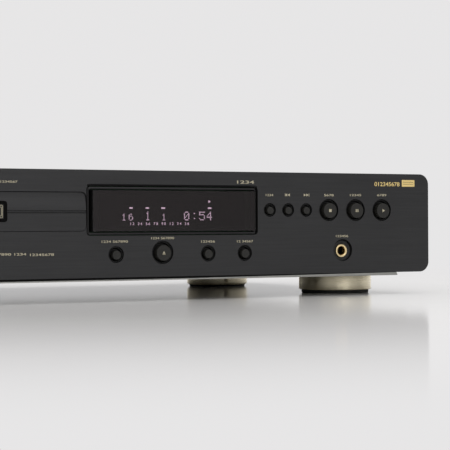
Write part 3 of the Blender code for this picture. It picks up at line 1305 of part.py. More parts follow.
def build_clamp():
    """The bridge over the drawer, and the puck that hangs in it above the turntable."""
    half = BRIDGE_LENGTH / 2
    bridge = box(
        "clamp_bridge",
        (DOOR_X - LOADER_HALF, DISC_Y - half, BRIDGE_BOTTOM),
        (DOOR_X + LOADER_HALF, DISC_Y + half, BRIDGE_TOP),
        ZINC_STEEL,
    )
    hole = PUCK_HUB_RADIUS + PUCK_SIDE_GAP
    cut(bridge, cylinders("puck_hole", [
        (hole, (DOOR_X, DISC_Y, BRIDGE_BOTTOM - CUT_OVERRUN), (DOOR_X, DISC_Y, BRIDGE_TOP + CUT_OVERRUN))
    ], segments=KEY_SEGMENTS))
    flange_low = BRIDGE_TOP + SEAT_GAP
    flange_top = flange_low + PUCK_FLANGE_THICKNESS
    low = BRIDGE_BOTTOM - PUCK_DROP
    disc_top = low + PUCK_FLANGE_THICKNESS
    flange = PUCK_HUB_RADIUS + PUCK_FLANGE
    profile = [
        (0, flange_top), (flange, flange_top), (flange, flange_low), (PUCK_HUB_RADIUS, flange_low),
        (PUCK_HUB_RADIUS, disc_top), (PUCK_RADIUS, disc_top), (PUCK_RADIUS, low), (0, low),
    ]
    turned("clamp_puck", profile, Matrix.Translation((DOOR_X, DISC_Y, 0)), WHITE_PLASTIC)


def build_traverse():
    """The tilting deck with the spindle motor, turntable, guide rods and laser pickup."""
    deck = box(
        "traverse_deck",
        (DOOR_X - DECK_HALF_WIDTH, DISC_Y - DECK_FRONT, DECK_BOTTOM),
        (DOOR_X + DECK_HALF_WIDTH, DISC_Y + DECK_REAR, DECK_TOP),
        GREY_PLASTIC,
    )
    clearance = ROD_HALF_PITCH - ROD_POST_SIDE
    cut(deck, box(
        "pickup_slot",
        (DOOR_X - clearance, DISC_Y + ROD_FRONT + ROD_POST_SIDE, DECK_BOTTOM - CUT_OVERRUN),
        (DOOR_X + clearance, DISC_Y + ROD_REAR - ROD_POST_SIDE, DECK_TOP + CUT_OVERRUN),
    ))
    half = ROD_POST_SIDE / 2
    posts = []
    for side in (-1, 1):
        for y in (DISC_Y + ROD_FRONT, DISC_Y + ROD_REAR):
            x = DOOR_X + side * ROD_HALF_PITCH
            posts.append(((x - half, y - half, DECK_TOP - JOIN_DEPTH), (x + half, y + half, ROD_Z + half)))
    join(deck, boxes("rod_posts", posts))
    reach = DECK_HALF_WIDTH + DECK_PIN_LENGTH
    start = DECK_HALF_WIDTH - JOIN_DEPTH
    join(deck, cylinders("deck_pins", [
        (
            DECK_PIN_RADIUS,
            (DOOR_X + side * start, DECK_PIN_Y, DECK_PIN_Z),
            (DOOR_X + side * reach, DECK_PIN_Y, DECK_PIN_Z),
        )
        for side in (-1, 1)
    ]))
    hole = ROD_RADIUS + SEAT_GAP
    rod_start = DISC_Y + ROD_FRONT - half
    rod_end = DISC_Y + ROD_REAR + half
    cut(deck, cylinders("rod_holes", [
        (
            hole,
            (DOOR_X + side * ROD_HALF_PITCH, rod_start - CUT_OVERRUN, ROD_Z),
            (DOOR_X + side * ROD_HALF_PITCH, rod_end + CUT_OVERRUN, ROD_Z),
        )
        for side in (-1, 1)
    ]))
    for name, side in (("left", -1), ("right", 1)):
        x = DOOR_X + side * ROD_HALF_PITCH
        rod = [(ROD_RADIUS, (x, rod_start, ROD_Z), (x, rod_end, ROD_Z))]
        cylinders("guide_rod_" + name, rod, STEEL)
    motor_low = DECK_TOP + SEAT_GAP
    motor_top = motor_low + SPINDLE_MOTOR_HEIGHT
    shaft_top = TABLE_TOP - TURNTABLE_THICKNESS / 2
    motor = [
        (0, shaft_top), (SPINDLE_RADIUS, shaft_top), (SPINDLE_RADIUS, motor_top),
        (SPINDLE_MOTOR_RADIUS, motor_top), (SPINDLE_MOTOR_RADIUS, motor_low), (0, motor_low),
    ]
    turned("spindle_motor", motor, Matrix.Translation((DOOR_X, DISC_Y, 0)), STEEL)
    build_turntable(motor_top)
    build_pickup()


def build_turntable(motor_top):
    """A flat rim that the disc lies on, a tapered hub in the disc's hole, and a boss over the shaft."""
    bore = SPINDLE_RADIUS + BORE_GAP
    boss = SPINDLE_RADIUS + BORE_GAP + ROD_RADIUS
    rim_low = TABLE_TOP - TURNTABLE_THICKNESS
    boss_low = motor_top + 2 * SEAT_GAP
    ceiling = TABLE_TOP + HUB_HEIGHT / 2
    profile = [
        (0, TABLE_TOP + HUB_HEIGHT), (HUB_RADIUS / 2, TABLE_TOP + HUB_HEIGHT), (HUB_RADIUS, TABLE_TOP),
        (TURNTABLE_RADIUS, TABLE_TOP), (TURNTABLE_RADIUS, rim_low), (boss, rim_low), (boss, boss_low),
        (bore, boss_low), (bore, ceiling), (0, ceiling),
    ]
    turned("turntable", profile, Matrix.Translation((DOOR_X, DISC_Y, 0)), BLACK_PLASTIC)


def build_pickup():
    middle = DISC_Y + SLED_START
    half_length = SLED_LENGTH / 2
    half_height = SLED_HEIGHT / 2
    sled = box(
        "pickup_sled",
        (DOOR_X - SLED_HALF_WIDTH, middle - half_length, ROD_Z - half_height),
        (DOOR_X + SLED_HALF_WIDTH, middle + half_length, ROD_Z + half_height),
        BLACK_PLASTIC,
    )
    hole = ROD_RADIUS + SEAT_GAP
    cut(sled, cylinders("sled_bores", [
        (
            hole,
            (DOOR_X + side * ROD_HALF_PITCH, middle - half_length - CUT_OVERRUN, ROD_Z),
            (DOOR_X + side * ROD_HALF_PITCH, middle + half_length + CUT_OVERRUN, ROD_Z),
        )
        for side in (-1, 1)
    ]))
    top = ROD_Z + half_height
    profile = disc_profile(LENS_RADIUS, top + SEAT_GAP, top + LENS_HEIGHT, LENS_RADIUS / 4)
    turned("pickup_lens", profile, Matrix.Translation((DOOR_X, middle, 0)), LENS_GLASS, SMALL_SEGMENTS)


def transformer_place():
    """The middle of the transformer on the floor of the base."""
    width, depth, _ = TRANSFORMER_SIZE
    x = INLET_X + INLET_WIDTH / 2 + INLET_WALL + TRANSFORMER_FROM_INLET + width / 2
    room = REAR_INNER - LOADER_REAR - depth
    y = LOADER_REAR + room * TRANSFORMER_ROOM_SHARE + depth / 2
    return x, y, floor_under(x) + SEAT_GAP


def build_transformer():
    """A laminated core, and the winding through it that shows at its front and rear."""
    width, depth, height = TRANSFORMER_SIZE
    x, y, low = transformer_place()
    lap = TRANSFORMER_COIL_LAP
    half_depth = depth / 2 - lap
    core = box(
        "transformer_core",
        (x - width / 2, y - half_depth, low),
        (x + width / 2, y + half_depth, low + height),
        ZINC_STEEL,
    )
    side = width / 2 - 2 * lap
    winding = box(
        "transformer_winding",
        (x - side, y - depth / 2, low + lap),
        (x + side, y + depth / 2, low + height - lap),
        COPPER_WINDING,
    )
    chamfer(winding, WINDING_EDGE)
    gap = SEAT_GAP
    cut(core, box(
        "core_window",
        (x - side - gap, y - half_depth - CUT_OVERRUN, low + lap - gap),
        (x + side + gap, y + half_depth + CUT_OVERRUN, low + height - lap + gap),
    ))


def build_main_board():
    left = DOOR_X + LOADER_HALF + MAIN_BOARD_MARGIN
    right = BASE_HALF - SHEET_THICKNESS - MAIN_BOARD_MARGIN - PAN_MARGIN
    front = CARRIER_BACK + MAIN_BOARD_MARGIN + JACK_LENGTH
    back = REAR_INNER - MAIN_BOARD_MARGIN
    board_top = BOARD_Z + BOARD_THICKNESS
    board = box("main_board", (left, front, BOARD_Z), (right, back, board_top), CIRCUIT_BOARD)
    inset = 2 * STANDOFF_RADIUS
    low = PAN_TOP + SEAT_GAP
    join(board, cylinders("standoffs", [
        (STANDOFF_RADIUS, (x, y, low), (x, y, BOARD_Z + JOIN_DEPTH))
        for x in (left + inset, right - inset)
        for y in (front + inset, back - inset)
    ]))
    top = BOARD_Z + BOARD_THICKNESS + SEAT_GAP
    y = front + (back - front) * CAPACITOR_DEPTH_SHARE
    edge = CAPACITOR_RADIUS / 9
    profile = disc_profile(CAPACITOR_RADIUS, top, top + CAPACITOR_HEIGHT, edge)
    for number, share in enumerate(CAPACITOR_X_SHARES, start=1):
        place = Matrix.Translation((left + (right - left) * share, y, 0))
        turned(f"capacitor_{number}", profile, place, BLACK_PLASTIC)


def main():
    build_front_panel()
    build_front_carrier()
    build_display()
    build_control_board()
    build_keys()
    build_power_switch()
    build_headphone_socket()
    build_base()
    build_cover()
    build_rear_panel()
    build_sockets()
    build_mains_inlet()
    for end, from_side, y, radius, pad_shown in (
        ("front", FRONT_FOOT_FROM_SIDE, FACE_Y + FRONT_FOOT_FROM_FRONT, FRONT_FOOT_RADIUS, FRONT_PAD_SHOWN),
        ("rear", REAR_FOOT_FROM_SIDE, REAR_Y - REAR_FOOT_FROM_REAR, REAR_FOOT_RADIUS, REAR_PAD_SHOWN),
    ):
        build_foot(end + "_left", PANEL_LEFT + from_side, y, radius, pad_shown)
        build_foot(end + "_right", PANEL_RIGHT - from_side, y, radius, pad_shown)
    build_drawer()
    build_door()
    build_loader_frame()
    build_drive()
    build_clamp()
    build_traverse()
    build_transformer()
    build_main_board()


main()
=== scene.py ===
import json
import math

import bmesh
import bpy
from bpy.props import FloatProperty, FloatVectorProperty, IntProperty, PointerProperty
from mathutils import Matrix, Vector

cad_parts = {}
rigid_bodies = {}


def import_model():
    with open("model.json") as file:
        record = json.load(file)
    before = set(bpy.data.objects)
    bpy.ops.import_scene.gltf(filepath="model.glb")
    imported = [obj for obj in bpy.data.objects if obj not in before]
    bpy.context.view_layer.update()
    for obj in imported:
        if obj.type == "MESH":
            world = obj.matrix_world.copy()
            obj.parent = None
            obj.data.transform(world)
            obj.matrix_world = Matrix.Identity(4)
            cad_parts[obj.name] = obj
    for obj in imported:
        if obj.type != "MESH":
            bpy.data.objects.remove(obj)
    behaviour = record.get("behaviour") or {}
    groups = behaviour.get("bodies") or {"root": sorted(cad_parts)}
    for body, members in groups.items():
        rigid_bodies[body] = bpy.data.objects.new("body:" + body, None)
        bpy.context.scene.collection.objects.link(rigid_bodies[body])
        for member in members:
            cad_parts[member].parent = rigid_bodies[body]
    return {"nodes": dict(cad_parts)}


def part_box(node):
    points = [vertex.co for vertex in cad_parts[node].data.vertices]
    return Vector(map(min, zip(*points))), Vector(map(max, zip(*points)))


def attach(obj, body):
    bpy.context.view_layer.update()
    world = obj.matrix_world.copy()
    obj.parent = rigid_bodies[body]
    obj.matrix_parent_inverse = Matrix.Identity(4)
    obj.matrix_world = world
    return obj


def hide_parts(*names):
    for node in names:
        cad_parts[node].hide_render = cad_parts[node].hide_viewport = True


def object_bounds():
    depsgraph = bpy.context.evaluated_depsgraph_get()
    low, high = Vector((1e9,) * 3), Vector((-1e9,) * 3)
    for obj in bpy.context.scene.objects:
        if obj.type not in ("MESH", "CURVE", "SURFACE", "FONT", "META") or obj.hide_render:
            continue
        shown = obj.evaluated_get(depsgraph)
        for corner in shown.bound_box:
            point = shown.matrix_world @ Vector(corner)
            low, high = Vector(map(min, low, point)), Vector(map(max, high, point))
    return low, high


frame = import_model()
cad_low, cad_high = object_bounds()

bl_info = {
    "name": "Disc Player Dressing",
    "version": (1, 0, 0),
    "blender": (4, 5, 0),
    "location": "View3D > Sidebar > Disc Player",
    "description": "Finishes, fine shapes and stage for a full-width disc player",
    "category": "Object",
}

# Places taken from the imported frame
PANEL_LOW, PANEL_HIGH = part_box("front_panel")
FACE, SILL = PANEL_LOW.y, PANEL_LOW.z
DOOR_LOW, DOOR_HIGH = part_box("drawer_door")
BEZEL_LOW, BEZEL_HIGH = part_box("display_bezel")
WINDOW_LOW, WINDOW_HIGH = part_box("display_window")
TUBE_LOW, TUBE_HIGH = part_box("display_tube")
BUSH_LOW, BUSH_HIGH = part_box("phones_bush")
REAR_LOW, REAR_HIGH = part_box("rear_panel")
CARRIER_FACE = FACE + 0.0033
TO_FRONT = Matrix.Rotation(math.pi / 2, 4, "X")
TO_BACK = Matrix.Rotation(-math.pi / 2, 4, "X")

# Measures of the front, in metres
CUT_REACH = 0.002
PANEL_CORNER = 0.008
LARGE_HOLE, LOWER_HOLE, UPPER_HOLE = 0.00835, 0.0059, 0.00505
HOLE_RISE = 0.0004
DOOR_GAP, DOOR_END_GAP, DOOR_CORNER = 0.00025, 0.0001, 0.0038
DISPLAY_GAP, DISPLAY_CORNER = 0.0007, 0.0025
LINTEL_BEVEL, LINTEL_DEPTH = 0.0013, 0.0008
BEZEL_BAR = 0.0014
RIM_LEFT, RIM_RIGHT, RIM_END, RIM_WALL = 0.0029, 0.0020, 0.0021, 0.0006
TUBE_GAP = 0.0003
# Ends of the dull black strip under the sill, which is painted shadow of the gap under the panel
SHADOW_LEFT_END, SHADOW_RIGHT_END = 0.011, 0.030
STRIP_LEFT, STRIP_RIGHT, STRIP_TAPER = 0.02, 0.1905, 0.0012
KEY_FLANGE = 0.1477
KEY_FLANGE_WIDTH, KEY_FLANGE_THICKNESS = 0.0011, 0.001
PHONES_BORE, PHONES_DISH = 0.0032, 0.0079

# The print lies on the face, and thicker marks reach into it
INK = FACE - 0.00002
INK_BACK = FACE + 0.0001

# The photograph's camera: its place in metres, its turn, rise and roll in degrees, its lens in pixels
CAMERA_SPOT = (-0.4359, -1.1147, 0.0514)
CAMERA_ANGLES = (26.42, 0.15, 0.28)
SENSOR_WIDTH, FOCAL_PIXELS, PHOTO_SIDE = 36, 1469.5, 450

# The table passes into the backdrop between these reaches from the player's middle, in metres
TABLE_REACH, BACKDROP_REACH = 0.28, 0.85

# Gloss sees the room's walls pass into its ceiling between these shares of straight up
WALL_TOP, CEILING_START = 0.5, 0.95

# Brightness of the ceiling in gloss, and of the soft light from all round
CEILING_LIGHT, SOFT_LIGHT = 0.55, 0.9

# Brightness of the room's walls by bearing in degrees. Nought is ahead of the front, and right is
# positive.
ROOM_LIGHT = (
    (-180, 0.95), (-170, 0.4), (-155, 0.12), (-123, 0.04), (-110, 0.12), (-96, 0.03), (-86, 0.08),
    (-76, 0.2), (-60, 0.34), (-30, 0.42), (-9, 0.52), (-5, 0.92), (12, 0.86), (26, 0.60), (40, 0.45),
    (56, 0.42), (80, 0.60), (105, 0.8), (128, 1.0), (180, 0.95),
)

# Hole radius around each key, and the sign that the key carries
KEYS = {
    "key_power": (LARGE_HOLE, None), "key_peak": (LOWER_HOLE, None),
    "key_eject": (LARGE_HOLE, "eject"), "key_scroll": (LOWER_HOLE, None),
    "key_text": (LOWER_HOLE, None), "key_edit": (UPPER_HOLE, None),
    "key_back": (UPPER_HOLE, None), "key_next": (UPPER_HOLE, None),
    "key_stop": (LARGE_HOLE, "stop"), "key_pause": (LARGE_HOLE, "pause"),
    "key_play": (LARGE_HOLE, "play"),
}
KEY_BODIES = {name: name.replace("key_", "") + "_key" for name in KEYS}

# Printed figures: text, left, right, height above the sill, and share of the print height
LABELS = (
    ("1234", 0.0756, 0.0819, 0.0590, 1),
    ("5678", 0.1254, 0.1339, 0.0592, 1),
    ("12345", 0.1483, 0.1583, 0.0594, 1),
    ("6789", 0.1727, 0.1811, 0.0595, 1),
    ("123456", 0.1357, 0.1465, 0.0282, 1),
    ("1234 567890", -0.0549, -0.0350, 0.0255, 1),
    ("1234 567890", -0.0171, 0.0009, 0.0277, 1),
    ("123456", 0.0224, 0.0335, 0.0250, 1),
    ("12 34567", 0.0515, 0.0648, 0.0249, 1),
    ("123 4567 890 1234567", -0.1496, -0.1163, 0.0670, 0.9),
    ("1234", 0.0518, 0.0659, 0.0684, 1.35),
    ("12345 678 901234567890 1234", -0.1704, -0.1102, 0.0174, 1),
    ("12345678", -0.1076, -0.0902, 0.0169, 1),
)

# The display: each lit figure with its left, right, bottom and top, then the bars over them and the
# row of small figures under them. Heights are above the sill.
LIT_ROW = (
    ("1", -0.0341, -0.0312, 0.0404, 0.0453), ("6", -0.0287, -0.0252, 0.0404, 0.0453),
    ("1", -0.0155, -0.0126, 0.0404, 0.0470), ("1", -0.0028, 0.0001, 0.0404, 0.0453),
    ("0", 0.0150, 0.0194, 0.0404, 0.0469), (":", 0.0229, 0.0241, 0.0404, 0.0469),
    ("5", 0.0272, 0.0321, 0.0404, 0.0469), ("4", 0.0335, 0.0379, 0.0404, 0.0469),
)
LIT_BARS = ((-0.0280, -0.0255), (-0.0153, -0.0127), (-0.0031, 0.0000), (0.0345, 0.0374))
LIT_BAR_LOW, LIT_BAR_HIGH = 0.0489, 0.0499
COUNT_ROW, COUNT_HEIGHT, COUNT_START = 0.03815, 0.0020, -0.0271
COUNT_PAIR_PITCH, COUNT_STEP, COUNT_FIGURES = 0.00620, 0.00215, 16

# Lit dots of each figure, from its top row down
FIGURES = {
    "0": ("01110", "10001", "10011", "10101", "11001", "10001", "01110"),
    "1": ("0010", "0110", "0010", "0010", "0010", "0010", "0111"),
    "4": ("00010", "00110", "01010", "10010", "11111", "00010", "00010"),
    "5": ("11111", "10000", "11110", "00001", "00001", "10001", "01110"),
    "6": ("0110", "1000", "1110", "1001", "1001", "1001", "0110"),
    ":": ("0", "1", "0", "0", "0", "1", "0"),
}


class DiscPlayerSizes(bpy.types.PropertyGroup):
    """Sizes of the fine shapes."""

    panel_edge: FloatProperty(
        name="Panel edge", description="Chamfer round the panel and its openings",
        default=0.0002, min=0.0001, max=0.001, precision=5, unit="LENGTH",
    )
    key_edge: FloatProperty(
        name="Key edge", description="Rounding of a key's rim",
        default=0.0005, min=0.0001, max=0.001, precision=5, unit="LENGTH",
    )
    key_dish: FloatProperty(
        name="Key dish", description="How far the middle of a key's face is sunk",
        default=0.00015, min=0.0, max=0.0005, precision=5, unit="LENGTH",
    )
    print_height: FloatProperty(
        name="Print height", description="Height of the small marks on the front",
        default=0.0017, min=0.001, max=0.004, precision=5, unit="LENGTH",
    )
    round_steps: IntProperty(
        name="Round steps", description="Steps round a turned piece", default=64, min=24, max=128,
    )


class DiscPlayerColours(bpy.types.PropertyGroup):
    """Colours of the finishes, as linear values."""

    front: FloatVectorProperty(
        name="Front", description="Brushed front", subtype="COLOR",
        default=(0.0340, 0.0341, 0.0352), min=0, max=1,
    )
    moulding: FloatVectorProperty(
        name="Moulding", description="Black plastic", subtype="COLOR",
        default=(0.004, 0.004, 0.004), min=0, max=1,
    )
    keys: FloatVectorProperty(
        name="Keys", description="Key faces", subtype="COLOR",
        default=(0.017, 0.0165, 0.0145), min=0, max=1,
    )
    gold_print: FloatVectorProperty(
        name="Print", description="Pale gold marks", subtype="COLOR",
        default=(0.46, 0.42, 0.30), min=0, max=1,
    )
    feet: FloatVectorProperty(
        name="Feet", description="Champagne metal", subtype="COLOR",
        default=(0.88, 0.80, 0.60), min=0, max=1,
    )
    glow: FloatVectorProperty(
        name="Glow", description="Lit figures", subtype="COLOR",
        default=(0.92, 0.72, 0.90), min=0, max=1,
    )
    cover: FloatVectorProperty(
        name="Cover", description="Painted cover", subtype="COLOR",
        default=(0.016, 0.016, 0.017), min=0, max=1,
    )
    floor: FloatVectorProperty(
        name="Floor", description="Table under the player", subtype="COLOR",
        default=(0.86, 0.85, 0.84), min=0, max=1,
    )
    backdrop: FloatVectorProperty(
        name="Backdrop", description="Wall behind", subtype="COLOR",
        default=(0.797, 0.790, 0.794), min=0, max=1,
    )


def sizes():
    return bpy.context.scene.disc_player_sizes


def colours():
    return bpy.context.scene.disc_player_colours


# Modelling steps


def clear_choice():
    bpy.ops.object.select_all(action="DESELECT")


def pick(piece):
    clear_choice()
    piece.select_set(True)
    bpy.context.view_layer.objects.active = piece


def settle(piece):
    """Puts the piece's place into its mesh, so that its object sits at the origin."""
    pick(piece)
    bpy.ops.object.transform_apply(location=True, rotation=True, scale=True)
    return piece


def place(piece, turn, spot):
    piece.matrix_world = Matrix.Translation(spot) @ turn
    return settle(piece)


def edit_all(piece):
    """Edit mode with the whole piece chosen."""
    pick(piece)
    bpy.ops.object.mode_set(mode="EDIT")
    bpy.ops.mesh.select_all(action="SELECT")


def leave_edit():
    bpy.ops.object.mode_set(mode="OBJECT")


def remove(pieces):
    for piece in pieces:
        pick(piece)
        bpy.ops.object.delete()


def modify(piece, kind, **settings):
    pick(piece)
    bpy.ops.object.modifier_add(type=kind)
    modifier = piece.modifiers[-1]
    for key, value in settings.items():
        setattr(modifier, key, value)
    bpy.ops.object.modifier_apply(modifier=modifier.name)


def slab(name, low, high):
    """A block between two corners."""
    clear_choice()
    centre = [(a + b) / 2 for a, b in zip(low, high)]
    size = [b - a for a, b in zip(low, high)]
    bpy.ops.mesh.primitive_cube_add(size=1, location=centre, scale=size)
    piece = bpy.context.object
    piece.name = name
    return settle(piece)


def choose_edges(piece, test):
    """Edit mode with the edges chosen whose two ends pass the test."""
    pick(piece)
    bpy.ops.object.mode_set(mode="EDIT")
    bpy.ops.mesh.select_mode(type="EDGE")
    bpy.ops.mesh.select_all(action="DESELECT")
    mesh = bmesh.from_edit_mesh(piece.data)
    for edge in mesh.edges:
        if test(edge.verts[0].co, edge.verts[1].co):
            edge.select_set(True)
    bmesh.update_edit_mesh(piece.data)


def split_at(piece, x):
    """New edges where an upright plane across the front meets the piece."""
    edit_all(piece)
    bpy.ops.mesh.bisect(plane_co=(x, 0, 0), plane_no=(1, 0, 0))
    leave_edit()


def round_corners(piece, radius, along=1, steps=8):
    """Rounds the long corners that run along one axis."""
    choose_edges(piece, lambda a, b: abs((b - a)[along]) > 0.999 * (b - a).length)
    bpy.ops.mesh.bevel(offset=radius, segments=steps, affect="EDGES")
    leave_edit()
    return piece


def rounded_slab(name, low, high, radius, along=1, steps=8):
    return round_corners(slab(name, low, high), radius, along, steps)


def soften(piece, width, steps=2, angle=32):
    """Small rounded edges, with flat faces that stay flat in the light."""
    modify(
        piece, "BEVEL", width=width, segments=steps, limit_method="ANGLE",
        angle_limit=math.radians(angle), use_clamp_overlap=True,
    )
    smooth(piece)
    modify(piece, "WEIGHTED_NORMAL", weight=80, keep_sharp=True)
    return piece


def smooth(piece, angle=40):
    pick(piece)
    bpy.ops.object.shade_smooth_by_angle(angle=math.radians(angle))
    return piece


def cut(piece, cutter):
    modify(piece, "BOOLEAN", operation="DIFFERENCE", solver="EXACT", object=cutter)
    remove([cutter])
    return piece


def join(name, pieces):
    clear_choice()
    for piece in pieces:
        piece.select_set(True)
    bpy.context.view_layer.objects.active = pieces[0]
    if len(pieces) > 1:
        bpy.ops.object.join()
    pieces[0].name = name
    return pieces[0]


def copy_of(piece, name, shift):
    pick(piece)
    bpy.ops.object.duplicate(linked=False)
    twin = bpy.context.object
    twin.name = name
    twin.location = shift
    return settle(twin)


def turned(name, profile, steps=None):
    """A piece turned about its own upright axis from (radius, height) points."""
    steps = steps or sizes().round_steps
    tiny = 0.00001
    points = [(max(radius, tiny), height) for radius, height in profile]
    clear_choice()
    bpy.ops.mesh.primitive_circle_add(
        vertices=steps, radius=points[0][0], fill_type="NOTHING", location=(0, 0, points[0][1])
    )
    piece = bpy.context.object
    piece.name = name
    edit_all(settle(piece))
    for (radius, height), (next_radius, next_height) in zip(points, points[1:]):
        rise = {"value": (0, 0, next_height - height)}
        bpy.ops.mesh.extrude_region_move(TRANSFORM_OT_translate=rise)
        share = next_radius / radius
        bpy.ops.transform.resize(value=(share, share, 1), center_override=(0, 0, next_height))
    bpy.ops.mesh.select_all(action="SELECT")
    bpy.ops.mesh.remove_doubles(threshold=2.5 * tiny)
    bpy.ops.mesh.normals_make_consistent(inside=False)
    leave_edit()
    return smooth(piece, 35)


def rod(name, radius, start, end, steps=24):
    """A round cutter between two points."""
    start, end = Vector(start), Vector(end)
    way = end - start
    clear_choice()
    bpy.ops.mesh.primitive_cylinder_add(
        vertices=steps, radius=radius, depth=way.length, location=(start + end) / 2,
        rotation=way.to_track_quat("Z", "Y").to_euler(),
    )
    piece = bpy.context.object
    piece.name = name
    return settle(piece)


def refined(node, name, edge, steps=2, angle=32):
    """The frame's own shape with its faces merged and its edges rounded."""
    pick(frame["nodes"][node])
    bpy.ops.object.duplicate(linked=False)
    piece = bpy.context.object
    piece.name = name
    pick(piece)
    bpy.ops.object.parent_clear(type="CLEAR_KEEP_TRANSFORM")
    edit_all(settle(piece))
    bpy.ops.mesh.remove_doubles(threshold=0.00002)
    bpy.ops.mesh.dissolve_limited(angle_limit=math.radians(1.0))
    leave_edit()
    for key in list(piece.keys()):
        if key.startswith("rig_"):
            del piece[key]
    return soften(piece, edge, steps, angle)


def label(text, left, right, z, height, front):
    """Plain figures that fill a strip of the front from side to side."""
    clear_choice()
    bpy.ops.object.text_add(location=(0, 0, 0))
    piece = bpy.context.object
    piece.data.body = text
    piece.data.extrude = 0.05
    piece.data.offset = 0.012
    bpy.ops.object.convert(target="MESH")
    piece = bpy.context.object
    low, high = Vector(piece.bound_box[0]), Vector(piece.bound_box[6])
    piece.location = -(low + high) / 2
    settle(piece)
    piece.scale = ((right - left) / (high.x - low.x), height / (high.y - low.y), 0.0012)
    return place(settle(piece), TO_FRONT, ((left + right) / 2, front, z))


def small_figure(text, x, z, height, front, depth=0.0001):
    """A plain thin figure that faces the front, centred on a place."""
    clear_choice()
    bpy.ops.object.text_add(location=(0, 0, 0))
    piece = bpy.context.object
    piece.data.body = text
    piece.data.size = height * 1.38
    piece.data.extrude = depth / 2
    piece.data.align_x = "CENTER"
    piece.data.align_y = "BOTTOM_BASELINE"
    bpy.ops.object.convert(target="MESH")
    return place(bpy.context.object, TO_FRONT, (x, front + depth / 2, z - height / 2))


def fit(piece, body, finish, slot, *nodes):
    """Gives a piece its finish, the body that it rides on, and the nodes that it stands for."""
    piece.data.materials.clear()
    piece.data.materials.append(finish_of(finish))
    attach(piece, body)
    if nodes:
        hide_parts(*nodes)
    return piece


def tone_faces(piece, finish, test):
    """A second finish on the faces whose middle passes the test."""
    piece.data.materials.append(finish_of(finish))
    for face in piece.data.polygons:
        if test(face.center):
            face.material_index = len(piece.data.materials) - 1


# Finishes

# The middle part of the noise gives the whole spread of a finish. Fine grain and broad wear share it.
NOISE_LOW, NOISE_HIGH = 0.3, 0.7
FINE_SHARE, BROAD_SHARE = 0.65, 0.35
BROAD_SCALE = 14.0

# Sockets of the Mix node by number, because its numbers and colours share their names
MIX_SHARE = 0
NUMBER_A, NUMBER_B = 2, 3
COLOUR_A, COLOUR_B, COLOUR_OUT = 6, 7, 2

# Each finish, where a word stands for a colour that the user can change
FINISHES = {
    "brushed_front": dict(
        colour="front", roughness=0.44, metallic=0.6, grain=(24, 650, 900), shade=0.16, gloss=0.05,
        relief=0.000012,
    ),
    "bezel_satin": dict(
        colour=(0.026, 0.026, 0.027), roughness=0.46, metallic=0.6, grain=(24, 650, 900), shade=0.1,
        gloss=0.04, relief=0.00001,
    ),
    "key_satin": dict(colour="keys", roughness=0.45, grain=900, relief=0.000012, Specular_IOR_Level=0.3),
    "dish_satin": dict(colour=(0.016, 0.016, 0.016), roughness=0.6, grain=900, Specular_IOR_Level=0.3),
    "dull_black": dict(
        colour=(0.0035, 0.0035, 0.0035), roughness=0.85, grain=1100, Specular_IOR_Level=0.06,
    ),
    "gloss_black": dict(
        colour=(0.004, 0.004, 0.004), roughness=0.22, grain=500, gloss=0.04, relief=0.000004,
    ),
    "black_moulding": dict(colour="moulding", roughness=0.55, grain=1100, Specular_IOR_Level=0.3),
    "tray_moulding": dict(
        colour=(0.018, 0.018, 0.019), roughness=0.42, grain=1300, relief=0.00003,
        Specular_IOR_Level=0.5,
    ),
    "gold_print": dict(colour="gold_print", roughness=0.5, metallic=0.3, grain=1600, shade=0.1),
    "gold_foil": dict(colour=(0.74, 0.56, 0.22), roughness=0.45, metallic=0.2, grain=1200, shade=0.08),
    "gold_plate": dict(
        colour=(0.92, 0.74, 0.42), roughness=0.28, metallic=1.0, grain=500, shade=0.08, gloss=0.05,
        relief=0.000008,
    ),
    "champagne_metal": dict(
        colour="feet", roughness=0.26, metallic=1.0, grain=(2, 2, 2200), shade=0.05, gloss=0.03,
        relief=0.000003, Anisotropic=0.95, Anisotropic_Rotation=0.25,
    ),
    "soft_rubber": dict(colour=(0.006, 0.006, 0.006), roughness=0.75, grain=700, relief=0.00004),
    "cover_paint": dict(
        colour="cover", roughness=0.5, grain=1500, shade=0.2, relief=0.00009, Specular_IOR_Level=0.5,
    ),
    "zinc_sheet": dict(
        colour=(0.36, 0.36, 0.34), roughness=0.38, metallic=0.9, grain=60, shade=0.14, gloss=0.1,
    ),
    "bright_metal": dict(colour=(0.62, 0.62, 0.61), roughness=0.25, metallic=1.0, grain=400, shade=0.08),
    "grey_moulding": dict(colour=(0.10, 0.10, 0.105), roughness=0.5, grain=900, relief=0.00003),
    "white_moulding": dict(colour=(0.62, 0.61, 0.57), roughness=0.4, grain=800, shade=0.06),
    "insert_red": dict(colour=(0.5, 0.02, 0.02), roughness=0.4, grain=700),
    "insert_white": dict(colour=(0.7, 0.7, 0.68), roughness=0.4, grain=700),
    "insert_orange": dict(colour=(0.7, 0.2, 0.03), roughness=0.4, grain=700),
    "board_lacquer": dict(colour=(0.04, 0.13, 0.05), roughness=0.35, grain=260, shade=0.3),
    "copper_turns": dict(
        colour=(0.55, 0.26, 0.10), roughness=0.35, metallic=0.8, grain=(20, 20, 2200), shade=0.25,
        relief=0.0001,
    ),
    "lens_coat": dict(colour=(0.05, 0.03, 0.16), roughness=0.06, grain=300, gloss=0.02, Coat_Weight=1.0),
    "smoked_pane": dict(
        colour=(0.20, 0.18, 0.185), roughness=0.04, grain=40, shade=0.02, gloss=0.004,
        relief=0.0000002, Transmission_Weight=1.0, IOR=1.49, Specular_Tint=(1.0, 0.92, 0.92, 1.0),
    ),
    "lit_figures": dict(
        colour="glow", roughness=0.5, grain=900, shade=0.08, Emission_Color="glow",
        Emission_Strength=3.3,
    ),
    "pale_table": dict(
        colour="floor", roughness=0.9, grain=35, shade=0.015, gloss=0.03, relief=0.00001,
        Specular_IOR_Level=0.0,
    ),
}

